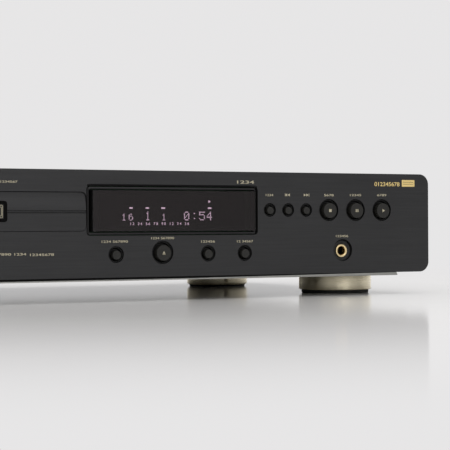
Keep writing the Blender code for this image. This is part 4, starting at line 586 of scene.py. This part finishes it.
# The nodes that stay in view, by finish
NODE_FINISHES = {
    "black_moulding": (
        "front_carrier", "phones_jack", "turntable", "pickup_sled", "capacitor_1", "capacitor_2",
        "line_sockets", "digital_sockets", "mains_inlet",
    ),
    "dull_black": ("display_tube",),
    "grey_moulding": ("power_switch", "loader_frame", "traverse_deck"),
    "white_moulding": ("drive_pinion", "motor_pulley", "clamp_puck"),
    "zinc_sheet": ("base_chassis", "clamp_bridge", "transformer_core"),
    "bright_metal": (
        "loading_motor", "guide_rod_left", "guide_rod_right", "spindle_motor",
        "cover_screw_1", "cover_screw_2", "cover_screw_3", "cover_screw_4",
    ),
    "board_lacquer": ("control_board", "main_board"),
    "copper_turns": ("transformer_winding",),
    "soft_rubber": ("drive_belt",),
    "lens_coat": ("pickup_lens",),
    "cover_paint": ("rear_panel",),
}


def tone(colour):
    """A colour as it's written, or the one that its name stands for."""
    return getattr(colours(), colour) if isinstance(colour, str) else colour


def add_node(tree, kind, values=None, **settings):
    """A new node with its settings and the values of its sockets."""
    node = tree.nodes.new("ShaderNode" + kind)
    for key, value in settings.items():
        setattr(node, key, value)
    for key, value in (values or {}).items():
        node.inputs[key].default_value = value
    return node


def finish_of(name):
    """The finish of that name, made when it's first asked for."""
    return bpy.data.materials.get(name) or grained(name, **FINISHES[name])


def grained(
    name, colour, roughness, metallic=0.0, grain=300, shade=0.12, gloss=0.06, relief=0.00002,
    **sockets
):
    """A finish whose colour, gloss and relief follow one grain, with broad soft wear over it."""
    finish = bpy.data.materials.new(name)
    finish.use_nodes = True
    tree = finish.node_tree
    link = tree.links.new
    shader = tree.nodes["Principled BSDF"]
    colour = tone(colour)
    spot = add_node(tree, "TexCoord")
    scale = grain if isinstance(grain, tuple) else (grain, grain, grain)
    stretch = add_node(tree, "Mapping", {"Scale": scale})
    link(spot.outputs["Object"], stretch.inputs["Vector"])
    fine = add_node(tree, "TexNoise", {"Scale": 1.0, "Detail": 4.0, "Roughness": 0.6})
    link(stretch.outputs["Vector"], fine.inputs["Vector"])
    broad = add_node(tree, "TexNoise", {"Scale": BROAD_SCALE, "Detail": 3.0})
    link(spot.outputs["Object"], broad.inputs["Vector"])
    blend = add_node(tree, "Math", {1: BROAD_SHARE}, operation="MULTIPLY_ADD")
    link(broad.outputs["Fac"], blend.inputs[0])
    fine_share = add_node(tree, "Math", {1: FINE_SHARE}, operation="MULTIPLY")
    link(fine.outputs["Fac"], fine_share.inputs[0])
    link(fine_share.outputs[0], blend.inputs[2])
    limits = {"From Min": NOISE_LOW, "From Max": NOISE_HIGH}
    spread = add_node(tree, "MapRange", limits)
    link(blend.outputs[0], spread.inputs["Value"])
    tint = add_node(tree, "Mix", {
        COLOUR_A: (*[c * (1 - shade) for c in colour], 1),
        COLOUR_B: (*[min(1, c * (1 + shade)) for c in colour], 1),
    }, data_type="RGBA")
    link(spread.outputs["Result"], tint.inputs[MIX_SHARE])
    link(tint.outputs[COLOUR_OUT], shader.inputs["Base Color"])
    limits.update({"To Min": roughness - gloss, "To Max": roughness + gloss})
    rough = add_node(tree, "MapRange", limits)
    link(blend.outputs[0], rough.inputs["Value"])
    link(rough.outputs["Result"], shader.inputs["Roughness"])
    bump = add_node(tree, "Bump", {"Strength": 1.0, "Distance": relief})
    link(fine.outputs["Fac"], bump.inputs["Height"])
    link(bump.outputs["Normal"], shader.inputs["Normal"])
    shader.inputs["Metallic"].default_value = metallic
    for key, value in sockets.items():
        value = (*tone(value), 1) if isinstance(value, str) else value
        shader.inputs[key.replace("_", " ")].default_value = value
    return finish


def pale_table():
    """Pale satin table with a faint even gloss, which passes into the backdrop away from the player."""
    finish = finish_of("pale_table")
    tree = finish.node_tree
    link = tree.links.new
    polish = add_node(tree, "BsdfGlossy", {"Color": (0.97, 0.97, 0.97, 1), "Roughness": 0.1})
    grazing = add_node(tree, "Fresnel", {"IOR": 1.45})
    share = add_node(tree, "Math", {1: 0.8}, operation="MULTIPLY")
    link(grazing.outputs[0], share.inputs[0])
    surface = add_node(tree, "MixShader")
    link(share.outputs[0], surface.inputs[0])
    link(tree.nodes["Principled BSDF"].outputs[0], surface.inputs[1])
    link(polish.outputs[0], surface.inputs[2])
    spot = add_node(tree, "TexCoord")
    reach = add_node(tree, "VectorMath", operation="LENGTH")
    link(spot.outputs["Object"], reach.inputs[0])
    fade = add_node(
        tree, "MapRange", {"From Min": TABLE_REACH, "From Max": BACKDROP_REACH},
        interpolation_type="SMOOTHSTEP",
    )
    link(reach.outputs["Value"], fade.inputs["Value"])
    wall = add_node(tree, "Emission", {"Color": (*colours().backdrop, 1)})
    scene_end = add_node(tree, "MixShader")
    link(fade.outputs["Result"], scene_end.inputs[0])
    link(surface.outputs[0], scene_end.inputs[1])
    link(wall.outputs[0], scene_end.inputs[2])
    link(scene_end.outputs[0], tree.nodes["Material Output"].inputs["Surface"])
    return finish


# Operators


class DISCPLAYER_OT_stage(bpy.types.Operator):
    """Pale floor, soft light, plain backdrop and the camera."""

    bl_idname = "disc_player.stage"
    bl_label = "Stage"

    def execute(self, context):
        scene = context.scene
        scene.view_settings.view_transform = "Standard"
        clear_choice()
        bpy.ops.mesh.primitive_plane_add(size=9, location=(0, 0, 0))
        floor = context.object
        floor.name = "floor"
        edit_all(settle(floor))
        bpy.ops.mesh.subdivide(number_cuts=7)
        leave_edit()
        floor.data.materials.append(pale_table())
        soft_world(scene)
        lamp("ceiling_light", (0.3, -0.5, 2.0), (0, 0, 0), 2.4, 14)
        lamp("front_light", (-0.1, -2.6, 1.3), (0, 0, 0.05), 1.8, 12)
        lamp("rear_light", (-1.2, 2.2, 1.5), (0, 0, 0.05), 1.8, 10)
        scene.camera = photo_camera()
        return {"FINISHED"}


def lamp(name, spot, target, side, power):
    """A square lamp that faces its target, with its side in metres and its power in watts."""
    clear_choice()
    bpy.ops.object.light_add(type="AREA", location=spot)
    light = bpy.context.object
    light.name = name
    light.data.shape = "SQUARE"
    light.data.size = side
    light.data.energy = power
    aim = Vector(target) - Vector(spot)
    light.rotation_euler = aim.to_track_quat("-Z", "Y").to_euler()


def soft_world(scene):
    """The camera sees a plain wall, and gloss sees a room whose light changes with the bearing."""
    world = bpy.data.worlds.new("soft_room")
    scene.world = world
    world.use_nodes = True
    tree = world.node_tree
    link = tree.links.new
    wall = tree.nodes["Background"]
    wall.inputs["Color"].default_value = (*colours().backdrop, 1)
    room = add_node(tree, "TexCoord")
    way = add_node(tree, "SeparateXYZ")
    link(room.outputs["Generated"], way.inputs[0])
    ahead = add_node(tree, "Math", {1: -1.0}, operation="MULTIPLY")
    link(way.outputs["Y"], ahead.inputs[0])
    bearing = add_node(tree, "Math", operation="ARCTAN2")
    link(way.outputs["X"], bearing.inputs[0])
    link(ahead.outputs[0], bearing.inputs[1])
    turn = add_node(tree, "MapRange", {"From Min": -math.pi, "From Max": math.pi})
    link(bearing.outputs[0], turn.inputs["Value"])
    walls = add_node(tree, "ValToRGB")
    stops = walls.color_ramp.elements
    for stop, (degrees, light) in zip(stops, (ROOM_LIGHT[0], ROOM_LIGHT[-1])):
        stop.position = (degrees + 180) / 360
        stop.color = (light, light, light, 1)
    for degrees, light in ROOM_LIGHT[1:-1]:
        stops.new((degrees + 180) / 360).color = (light, light, light, 1)
    link(turn.outputs["Result"], walls.inputs["Fac"])
    height = add_node(
        tree, "MapRange", {"From Min": WALL_TOP, "From Max": CEILING_START},
        interpolation_type="SMOOTHSTEP",
    )
    link(way.outputs["Z"], height.inputs["Value"])
    ceiling = (CEILING_LIGHT, CEILING_LIGHT, CEILING_LIGHT, 1)
    mirrored = add_node(tree, "Mix", {COLOUR_B: ceiling}, data_type="RGBA")
    link(height.outputs["Result"], mirrored.inputs[MIX_SHARE])
    link(walls.outputs["Color"], mirrored.inputs[COLOUR_A])
    path = add_node(tree, "LightPath")
    seen = add_node(tree, "Math", operation="MAXIMUM")
    link(path.outputs["Is Camera Ray"], seen.inputs[0])
    link(path.outputs["Is Transmission Ray"], seen.inputs[1])
    plain = add_node(tree, "Mix", {NUMBER_A: SOFT_LIGHT, NUMBER_B: 1.0}, data_type="FLOAT")
    link(seen.outputs[0], plain.inputs[MIX_SHARE])
    gloss = add_node(tree, "Mix", data_type="FLOAT")
    link(path.outputs["Is Glossy Ray"], gloss.inputs[MIX_SHARE])
    link(plain.outputs[0], gloss.inputs[NUMBER_A])
    link(mirrored.outputs[COLOUR_OUT], gloss.inputs[NUMBER_B])
    link(gloss.outputs[0], wall.inputs["Strength"])


def photo_camera():
    """The photograph's place and angle, with a level horizon to within a third of a degree."""
    turn, rise, roll = (math.radians(angle) for angle in CAMERA_ANGLES)
    ahead = Vector((math.sin(turn) * math.cos(rise), math.cos(turn) * math.cos(rise), math.sin(rise)))
    right = Vector((math.cos(turn), -math.sin(turn), 0))
    down = ahead.cross(right)
    across = math.cos(roll) * right + math.sin(roll) * down
    below = -math.sin(roll) * right + math.cos(roll) * down
    clear_choice()
    bpy.ops.object.camera_add(location=CAMERA_SPOT)
    camera = bpy.context.object
    camera.name = "photo_camera"
    axes = Matrix((across, -below, -ahead)).transposed().to_4x4()
    camera.matrix_world = Matrix.Translation(camera.location) @ axes
    camera.data.sensor_width = SENSOR_WIDTH
    camera.data.lens = SENSOR_WIDTH * FOCAL_PIXELS / PHOTO_SIDE
    camera.data.clip_start = 0.01
    return camera


class DISCPLAYER_OT_front_panel(bpy.types.Operator):
    """Brushed front with its openings and fine chamfers."""

    bl_idname = "disc_player.front_panel"
    bl_label = "Front Panel"

    def execute(self, context):
        panel = rounded_slab("front_plate", PANEL_LOW, PANEL_HIGH, PANEL_CORNER, steps=12)
        soften(panel, 2 * sizes().panel_edge, steps=3)
        holes = [(middle(name), hole) for name, (hole, _) in KEYS.items()]
        holes.append((middle("phones_bush"), LARGE_HOLE))
        front, back = FACE - CUT_REACH, PANEL_HIGH.y + CUT_REACH
        cut(panel, join("holes", [
            rod("hole", hole, (x, front, z + HOLE_RISE), (x, back, z + HOLE_RISE), 64)
            for (x, z), hole in holes
        ]))
        for low, high, gap, end_gap, radius in (
            (DOOR_LOW, DOOR_HIGH, DOOR_GAP, DOOR_END_GAP, DOOR_CORNER),
            (BEZEL_LOW, BEZEL_HIGH, DISPLAY_GAP, DISPLAY_GAP, DISPLAY_CORNER),
        ):
            cut(panel, rounded_slab(
                "way", (low.x - end_gap, front, low.z - gap), (high.x + end_gap, back, high.z + gap),
                radius,
            ))
        lintel = BEZEL_HIGH.z + DISPLAY_GAP
        choose_edges(panel, lambda a, b: all(
            abs(end.y - FACE) < 1e-5 and lintel - LINTEL_DEPTH < end.z < lintel + 1e-5
            and end.x > BEZEL_LOW.x
            for end in (a, b)
        ))
        bpy.ops.mesh.bevel(offset=LINTEL_BEVEL, segments=1, affect="EDGES")
        leave_edit()
        soften(panel, sizes().panel_edge)
        fit(panel, "case", "brushed_front", "black_aluminium", "front_panel")
        # Painted shade: the lintel's chamfer over the display takes the darker bezel finish
        tone_faces(panel, "bezel_satin", lambda spot: (
            BEZEL_LOW.x < spot.x < BEZEL_HIGH.x + DISPLAY_GAP
            and lintel - LINTEL_DEPTH < spot.z < lintel + LINTEL_BEVEL
            and FACE + 0.0001 < spot.y < FACE + LINTEL_BEVEL
        ))
        sill_lines()
        return {"FINISHED"}


def sill_lines():
    """Painted shadow in dull black under the panel's lower edge, and the chassis's bright edge before it.
    """
    # Painted shadow: a dull black strip hangs just behind the face, below the sill
    shadow_strip = rounded_slab(
        "sill_seal", (PANEL_LOW.x + SHADOW_LEFT_END, FACE + 0.0003, SILL - 0.0013),
        (PANEL_HIGH.x - SHADOW_RIGHT_END, FACE + 0.00048, SILL + 0.0005), 0.00004, along=0, steps=2,
    )
    fit(shadow_strip, "case", "dull_black", "black_plastic")
    top = SILL - 0.0001
    strip = slab(
        "sill_strip", (STRIP_LEFT, FACE + 0.00021, SILL - 0.0015), (STRIP_RIGHT, FACE + 0.0003, top)
    )
    choose_edges(strip, lambda a, b: all(
        end.x < STRIP_LEFT + 0.01 and end.z > top - 0.0001 for end in (a, b)
    ))
    bpy.ops.transform.translate(value=(0, 0, -STRIP_TAPER))
    leave_edit()
    soften(strip, 0.00002, steps=1)
    fit(strip, "case", "zinc_sheet", "zinc_steel")


def middle(node):
    low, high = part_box(node)
    return (low.x + high.x) / 2, (low.z + high.z) / 2


class DISCPLAYER_OT_door(bpy.types.Operator):
    """Drawer front with its soft swell and bead, the tray behind it, and the plate at its middle."""

    bl_idname = "disc_player.door"
    bl_label = "Drawer Front"

    def execute(self, context):
        door = refined("drawer_door", "door_plate", 0.00025)
        fit(door, "drawer_unit", "brushed_front", "black_aluminium", "drawer_door")
        tray = refined("drawer", "drawer_tray", 0.0003)
        fit(tray, "drawer_unit", "tray_moulding", "black_plastic", "drawer")
        low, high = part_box("door_badge")
        badge = rounded_slab("badge_plate", low, high, 0.0015)
        soften(badge, 0.0002)
        fit(badge, "drawer_unit", "dull_black", "black_aluminium", "door_badge")
        x, z = middle("door_badge")
        front = low.y
        face = frame_line("badge_face", x, z, 0.0080, 0.0050, 0.0050, front - 0.00002)
        fit(face, "drawer_unit", "dish_satin", "black_plastic")
        line, raised = 0.0003, 0.00006
        signs = [frame_line("line", x, z, 0.0074, 0.0044, line, front - raised)]
        signs += [
            frame_line("line", x + side * 0.0052, z, 0.0014, 0.0032, line, front - raised)
            for side in (-1, 1)
        ]
        for outer in (0.0029, 0.0013):
            inner = outer - 0.0005
            ring = turned("ring", [
                (inner, 0), (outer, 0), (outer, raised), (inner, raised), (inner, 0),
            ])
            signs.append(place(ring, TO_FRONT, (x, front + 0.00002, z)))
        fit(join("badge_rings", signs), "drawer_unit", "gold_print", "gold_metal")
        return {"FINISHED"}


def frame_line(name, x, z, half_width, half_height, line, front):
    """A thin flat frame on the front, or a plate where its line fills it."""
    piece = rounded_slab(
        name, (x - half_width, front, z - half_height),
        (x + half_width, front + 0.0002, z + half_height), 0.0006, steps=4,
    )
    if line < min(half_width, half_height):
        inside = slab(
            "inside", (x - half_width + line, front - 0.001, z - half_height + line),
            (x + half_width - line, front + 0.001, z + half_height - line),
        )
        cut(piece, inside)
    return piece


class DISCPLAYER_OT_display(bpy.types.Operator):
    """Bezel, smoked window in its black rim, mask and the lit figures."""

    bl_idname = "disc_player.display"
    bl_label = "Display"

    def execute(self, context):
        bezel = refined("display_bezel", "bezel_frame", 0.00015)
        inner_left, inner_right = BEZEL_LOW.x + BEZEL_BAR, BEZEL_HIGH.x - BEZEL_BAR
        for x in (inner_left, inner_right):
            split_at(bezel, x)
        fit(bezel, "case", "bezel_satin", "black_aluminium", "display_bezel")
        # Painted shade: the side bars take black finishes while the top and bottom bands keep the satin
        tone_faces(bezel, "black_moulding", lambda spot: spot.x < inner_left)
        tone_faces(bezel, "dull_black", lambda spot: spot.x > inner_right)
        left, right = WINDOW_LOW.x + RIM_LEFT, WINDOW_HIGH.x - RIM_RIGHT
        bottom, top = WINDOW_LOW.z + RIM_END, WINDOW_HIGH.z - RIM_END
        front = WINDOW_LOW.y
        rim = slab("window_rim", (left, front + 0.0001, bottom), (right, WINDOW_HIGH.y, top))
        cut(rim, slab(
            "inside", (left + RIM_WALL, front - 0.001, bottom + RIM_WALL),
            (right - RIM_WALL, WINDOW_HIGH.y + 0.001, top - RIM_WALL),
        ))
        soften(rim, 0.00015)
        fit(rim, "case", "black_moulding", "black_plastic")
        pane = slab(
            "window_pane", (left + 0.0001, front, bottom + 0.0001),
            (right - 0.0001, front + 0.0012, top - 0.0001),
        )
        soften(pane, 0.0003)
        fit(pane, "case", "smoked_pane", "smoked_acrylic", "display_window")
        mask = slab(
            "display_mask", (left, TUBE_LOW.y + 0.0022, bottom), (right, TUBE_LOW.y + 0.0030, top)
        )
        cut(mask, slab(
            "hole", (TUBE_LOW.x - TUBE_GAP, TUBE_LOW.y, TUBE_LOW.z - TUBE_GAP),
            (TUBE_HIGH.x + TUBE_GAP, TUBE_HIGH.y, TUBE_HIGH.z + TUBE_GAP),
        ))
        soften(mask, 0.0001)
        fit(mask, "case", "dull_black", "black_plastic")
        glow = join("lit_figures_group", lit_pieces(TUBE_LOW.y - 0.00015))
        fit(glow, "case", "lit_figures", "tube_glass")
        return {"FINISHED"}


def lit_pieces(front):
    """The display's figures of dots, the bars and the mark over them, and the row under them."""
    lit = []
    for text, left, right, low, high in LIT_ROW:
        lit += dots(FIGURES[text], left, right, SILL + low, SILL + high, front)
    for left, right in LIT_BARS:
        lit.append(slab(
            "bar", (left, front, SILL + LIT_BAR_LOW), (right, front + 0.0001, SILL + LIT_BAR_HIGH)
        ))
    lit.append(pointer("mark", 0.0356, SILL + 0.0542, 0.0012, front, 0))
    for k in range(COUNT_FIGURES):
        x = COUNT_START + COUNT_PAIR_PITCH * (k // 2) + COUNT_STEP * (k % 2)
        lit.append(small_figure(str((k + 1) % 10), x, SILL + COUNT_ROW, COUNT_HEIGHT, front))
    return lit


def dots(rows, left, right, bottom, top, front):
    """Small dots for the lit places of a figure, with a dark line between them."""
    across = (right - left) / len(rows[0])
    up = (top - bottom) / len(rows)
    start, end = 0.15, 0.85
    made = []
    for r, row in enumerate(rows):
        for c, lit in enumerate(row):
            if lit == "1":
                x = left + across * c
                z = top - up * (r + 1)
                made.append(slab(
                    "dot", (x + across * start, front, z + up * start),
                    (x + across * end, front + 0.0001, z + up * end),
                ))
    return made


def pointer(name, x, z, size, front, turn):
    """A thin triangle that faces the front and points to the right, or up after a quarter turn."""
    clear_choice()
    bpy.ops.mesh.primitive_cylinder_add(vertices=3, radius=size, depth=0.00012)
    piece = bpy.context.object
    piece.name = name
    settle(piece)
    spin = Matrix.Rotation(turn, 4, "Z") @ Matrix.Rotation(-math.pi / 2, 4, "Z")
    return place(piece, TO_FRONT @ spin, (x, front + 0.00006, z))


class DISCPLAYER_OT_keys(bpy.types.Operator):
    """Round keys with their signs, and the dark well round each."""

    bl_idname = "disc_player.keys"
    bl_label = "Keys"

    def execute(self, context):
        models = {}
        for name, (hole, sign) in KEYS.items():
            low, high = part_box(name)
            x, z = middle(name)
            cap = (high.x - low.x) / 2 - 0.0012
            kind = round(hole * 1e5)
            if kind not in models:
                models[kind] = key_model(hole, cap, low.y, high.y)
            key_piece, well = models[kind]
            key = copy_of(key_piece, name + "_cap", (x, 0, z))
            fit(key, KEY_BODIES[name], "key_satin", "key_grey", name)
            rise = z + HOLE_RISE
            ring = copy_of(well, name.replace("key", "well"), (x, 0, rise))
            # The well is dull black all round: the collar's own black, with painted shade in the recess
            fit(ring, "case", "dull_black", "black_plastic")
            tone_faces(ring, "gloss_black", lambda spot: (
                spot.y < FACE + 0.0016 and math.hypot(spot.x - x, spot.z - rise) > hole - 0.0011
            ))
            if sign:
                mark = key_sign(sign, x, z, low.y)
                mark.name = name + "_sign"
                fit(mark, KEY_BODIES[name], "gold_print", "gold_metal")
        for pair in models.values():
            remove(pair)
        return {"FINISHED"}


def key_model(hole, cap, front, back):
    """A key's cap, flange and stem, and the well that it sits in, both centred on the upright axis."""
    edge, dish = sizes().key_edge, sizes().key_dish
    top = -front
    stem = cap * 0.6
    flange, flange_back = cap + KEY_FLANGE_WIDTH, KEY_FLANGE - KEY_FLANGE_THICKNESS
    profile = [
        (0, top - dish), (cap * 0.45, top - dish * 0.82), (cap * 0.8, top - dish * 0.3),
        (cap - edge, top), (cap - edge * 0.5, top - edge * 0.13), (cap - edge * 0.13, top - edge * 0.5),
        (cap, top - edge), (cap, KEY_FLANGE), (flange, KEY_FLANGE), (flange, flange_back),
        (stem, flange_back), (stem, -back), (0, -back),
    ]
    key = place(turned("key_model", profile), TO_FRONT, (0, 0, 0))
    rim = hole - 0.00015
    mouth = -FACE - 0.0012
    floor = -CARRIER_FACE + 0.0003
    inner = cap + HOLE_RISE + 0.0003
    well = [
        (inner, floor - 0.0012), (inner, floor), (rim - 0.0009, floor), (rim - 0.0008, mouth - 0.0004),
        (rim - 0.0007, mouth - 0.00015), (rim - 0.0005, mouth), (rim - 0.0003, mouth),
        (rim - 0.0001, mouth - 0.00015), (rim, mouth - 0.0004), (rim, floor - 0.0012),
        (inner, floor - 0.0012),
    ]
    ring = place(turned("well_model", well), TO_FRONT, (0, 0, 0))
    return key, ring


def key_sign(sign, x, z, front):
    """The plain sign on a key's face: a square, two bars, or a triangle."""
    front += 0.00004
    back = front + 0.00022
    half = 0.0011
    if sign == "stop":
        return slab("sign", (x - half, front, z - half), (x + half, back, z + half))
    if sign == "pause":
        bar = 0.00042
        return join("sign", [
            slab("sign", (x + side - bar, front, z - half), (x + side + bar, back, z + half))
            for side in (-0.00075, 0.00075)
        ])
    if sign == "play":
        return pointer("sign", x, z, 0.0015, front, 0)
    bar = slab("sign", (x - half, front, z - 0.0012), (x + half, back, z - 0.0009))
    return join("sign", [pointer("sign", x, z + 0.0001, 0.0012, front, math.pi / 2), bar])


class DISCPLAYER_OT_phones(bpy.types.Operator):
    """Gold ring of the headphone socket in its dark dish."""

    bl_idname = "disc_player.phones"
    bl_label = "Headphone Socket"

    def execute(self, context):
        x, z = middle("phones_bush")
        outer = (BUSH_HIGH.x - BUSH_LOW.x) / 2
        bore, rim = PHONES_BORE, PHONES_DISH
        front, back = -BUSH_LOW.y, -BUSH_HIGH.y
        ring = turned("phones_ring", [
            (bore, back), (bore, front - 0.0009), (bore + 0.0002, front - 0.0004),
            (bore + 0.0005, front - 0.0001), (bore + 0.0008, front), (outer - 0.0003, front),
            (outer - 0.0001, front - 0.0001), (outer, front - 0.0004), (outer, back), (bore, back),
        ])
        place(ring, TO_FRONT, (x, 0, z))
        fit(ring, "case", "gold_plate", "gold_metal", "phones_bush")
        floor = -CARRIER_FACE + 0.0002
        dish = turned("phones_dish", [
            (outer + 0.0001, floor - 0.001), (outer + 0.0001, front - 0.0009),
            (rim - 0.0016, front - 0.0005), (rim - 0.0012, front - 0.0002),
            (rim - 0.0003, front - 0.0002), (rim, front - 0.0006), (rim, floor - 0.001),
            (outer + 0.0001, floor - 0.001),
        ])
        place(dish, TO_FRONT, (x, 0, z))
        fit(dish, "case", "dish_satin", "key_grey")
        return {"FINISHED"}


class DISCPLAYER_OT_print(bpy.types.Operator):
    """Small gold marks and plain figures printed on the front."""

    bl_idname = "disc_player.print"
    bl_label = "Printed Marks"

    def execute(self, context):
        height = sizes().print_height
        marks = [
            label(text, left, right, SILL + rise, height * share, INK)
            for text, left, right, rise, share in LABELS
        ]
        row = SILL + 0.0592
        for x, turn, stop in ((0.0944, math.pi, 0.0918), (0.1098, 0, 0.1122)):
            for side in (-0.0013, 0.0009):
                marks.append(pointer("mark", x + side, row, 0.00125, INK - 0.00006, turn))
            marks.append(slab(
                "mark", (stop, INK - 0.00004, row - 0.0011), (stop + 0.0004, INK_BACK, row + 0.0011)
            ))
        fit(join("front_marks", marks), "case", "gold_print", "gold_metal")
        plate = rounded_slab(
            "foil_plate", (0.1953, INK - 0.00004, SILL + 0.0662), (0.2070, INK_BACK, SILL + 0.0714),
            0.0004, steps=4,
        )
        for rise in (0.0680, 0.0695):
            low = SILL + rise
            cut(plate, slab("slot", (0.1964, FACE - 0.001, low), (0.2059, FACE + 0.001, low + 0.0003)))
        mark = label("012345678", 0.1703, 0.1932, SILL + 0.0680, height * 1.9, INK)
        fit(join("foil_marks", [plate, mark]), "case", "gold_foil", "gold_metal")
        return {"FINISHED"}


class DISCPLAYER_OT_feet(bpy.types.Operator):
    """Turned champagne feet on their rubber pads."""

    bl_idname = "disc_player.feet"
    bl_label = "Feet"

    def execute(self, context):
        for row, edge in (("front", 0.0006), ("rear", 0.0014)):
            low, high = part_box("foot_shell_" + row + "_right")
            radius = (high.x - low.x) / 2
            bore, neck, rubber_edge = radius - 0.003, radius - 0.004, radius - 0.0022
            bottom, top = low.z, high.z
            shoulder, ceiling = top - 0.0009, top - 0.0025
            shell = turned("shell_model", [
                (bore, bottom + 0.0003), (bore + 0.0003, bottom), (radius - edge, bottom),
                (radius - 0.8 * edge, bottom + 0.07 * edge), (radius - 0.07 * edge, bottom + 0.8 * edge),
                (radius, bottom + edge), (radius, shoulder - 0.0004),
                (radius - 0.0001, shoulder - 0.0001), (radius - 0.0004, shoulder), (neck, shoulder),
                (neck, top), (0, top), (0, ceiling), (bore, ceiling), (bore, bottom + 0.0003),
            ], 128)
            rubber = turned("pad_model", [
                (0, 0), (radius - 0.0030, 0), (radius - 0.0024, 0.0002), (rubber_edge, 0.0008),
                (rubber_edge, bottom - 0.0003), (bore - 0.0003, bottom - 0.0003),
                (bore - 0.0003, bottom + 0.001), (0, bottom + 0.001), (0, 0),
            ], 96)
            for side in ("left", "right"):
                name = row + "_" + side
                near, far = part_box("foot_shell_" + name)
                spot = ((near.x + far.x) / 2, (near.y + far.y) / 2, 0)
                foot = copy_of(shell, "foot_" + name, spot)
                fit(foot, "case", "champagne_metal", "champagne_aluminium", "foot_shell_" + name)
                pad = copy_of(rubber, "pad_" + name, spot)
                fit(pad, "case", "soft_rubber", "black_rubber", "foot_pad_" + name)
            remove([shell, rubber])
        return {"FINISHED"}


class DISCPLAYER_OT_case(bpy.types.Operator):
    """Folded cover with softened edges, its screws, and the finishes of the nodes that stay in view."""

    bl_idname = "disc_player.case"
    bl_label = "Case"

    def execute(self, context):
        cover = refined("top_cover", "cover_shell", 0.00022, angle=50)
        fit(cover, "case", "cover_paint", "cover_paint", "top_cover")
        for finish, nodes in NODE_FINISHES.items():
            for node in nodes:
                for slot in frame["nodes"][node].material_slots:
                    slot.material = finish_of(finish)
        return {"FINISHED"}


class DISCPLAYER_OT_rear(bpy.types.Operator):
    """Collars of the rear sockets and small screws."""

    bl_idname = "disc_player.rear"
    bl_label = "Rear"

    def execute(self, context):
        back = cad_high.y
        low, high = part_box("line_sockets")
        height = (low.z + high.z) / 2
        barrel = turned("barrel_model", [
            (0.0026, 0), (0.0026, 0.0085), (0.0030, 0.0088), (0.0040, 0.0088), (0.0042, 0.0085),
            (0.0042, 0), (0.0026, 0),
        ])
        core = turned("core_model", [
            (0.0016, 0), (0.0016, 0.0078), (0.0019, 0.0081), (0.0036, 0.0081), (0.0036, 0),
            (0.0016, 0),
        ])
        for x, colour in ((0.140, "red"), (0.160, "white"), (0.090, "orange")):
            ring = copy_of(barrel, "socket_ring_" + colour, (0, 0, 0))
            place(ring, TO_BACK, (x, back - 0.0089, height))
            fit(ring, "case", "gold_plate", "gold_metal")
            insert = copy_of(core, "socket_insert_" + colour, (0, 0, 0))
            place(insert, TO_BACK, (x, back - 0.0086, height))
            fit(insert, "case", "insert_" + colour, "white_plastic")
        head = turned("head_model", [
            (0.0034, -0.0003), (0.0034, 0.0004), (0.0029, 0.0010), (0.0018, 0.0013), (0, 0.0014),
            (0, -0.0003), (0.0034, -0.0003),
        ], 32)
        for half_x, half_y in ((0.0019, 0.0003), (0.0003, 0.0019)):
            cut(head, slab("slot", (-half_x, -half_y, 0.0006), (half_x, half_y, 0.003)))
        smooth(head, 35)
        margin = 0.006
        spots = [
            (x, z) for z in (REAR_HIGH.z - margin, REAR_LOW.z + margin)
            for x in (-0.205, -0.070, 0.070, 0.205)
        ]
        for k, (x, z) in enumerate(spots, 1):
            screw = copy_of(head, "rear_screw_%d" % k, (0, 0, 0))
            place(screw, TO_BACK, (x, REAR_HIGH.y, z))
            fit(screw, "case", "bright_metal", "bright_steel")
        remove([barrel, core, head])
        return {"FINISHED"}


class DISCPLAYER_PT_panel(bpy.types.Panel):
    """Shows the sizes, the colours and a button for each step."""

    bl_label = "Disc Player"
    bl_idname = "DISCPLAYER_PT_panel"
    bl_space_type = "VIEW_3D"
    bl_region_type = "UI"
    bl_category = "Disc Player"

    def draw(self, context):
        layout = self.layout
        for group in (context.scene.disc_player_sizes, context.scene.disc_player_colours):
            for name in group.bl_rna.properties.keys():
                if name not in ("rna_type", "name"):
                    layout.prop(group, name)
        for operator in OPERATORS:
            layout.operator(operator.bl_idname)


OPERATORS = (
    DISCPLAYER_OT_stage, DISCPLAYER_OT_front_panel, DISCPLAYER_OT_door, DISCPLAYER_OT_display,
    DISCPLAYER_OT_keys, DISCPLAYER_OT_phones, DISCPLAYER_OT_print, DISCPLAYER_OT_feet, DISCPLAYER_OT_case,
    DISCPLAYER_OT_rear,
)
CLASSES = (DiscPlayerSizes, DiscPlayerColours) + OPERATORS + (DISCPLAYER_PT_panel,)


def register():
    for item in CLASSES:
        bpy.utils.register_class(item)
    bpy.types.Scene.disc_player_sizes = PointerProperty(type=DiscPlayerSizes)
    bpy.types.Scene.disc_player_colours = PointerProperty(type=DiscPlayerColours)


def unregister():
    del bpy.types.Scene.disc_player_colours
    del bpy.types.Scene.disc_player_sizes
    for item in reversed(CLASSES):
        bpy.utils.unregister_class(item)


def main():
    register()
    bpy.ops.disc_player.stage()
    bpy.ops.disc_player.front_panel()
    bpy.ops.disc_player.door()
    bpy.ops.disc_player.display()
    bpy.ops.disc_player.keys()
    bpy.ops.disc_player.phones()
    bpy.ops.disc_player.print()
    bpy.ops.disc_player.feet()
    bpy.ops.disc_player.case()
    bpy.ops.disc_player.rear()


if __name__ == "__main__":
    main()
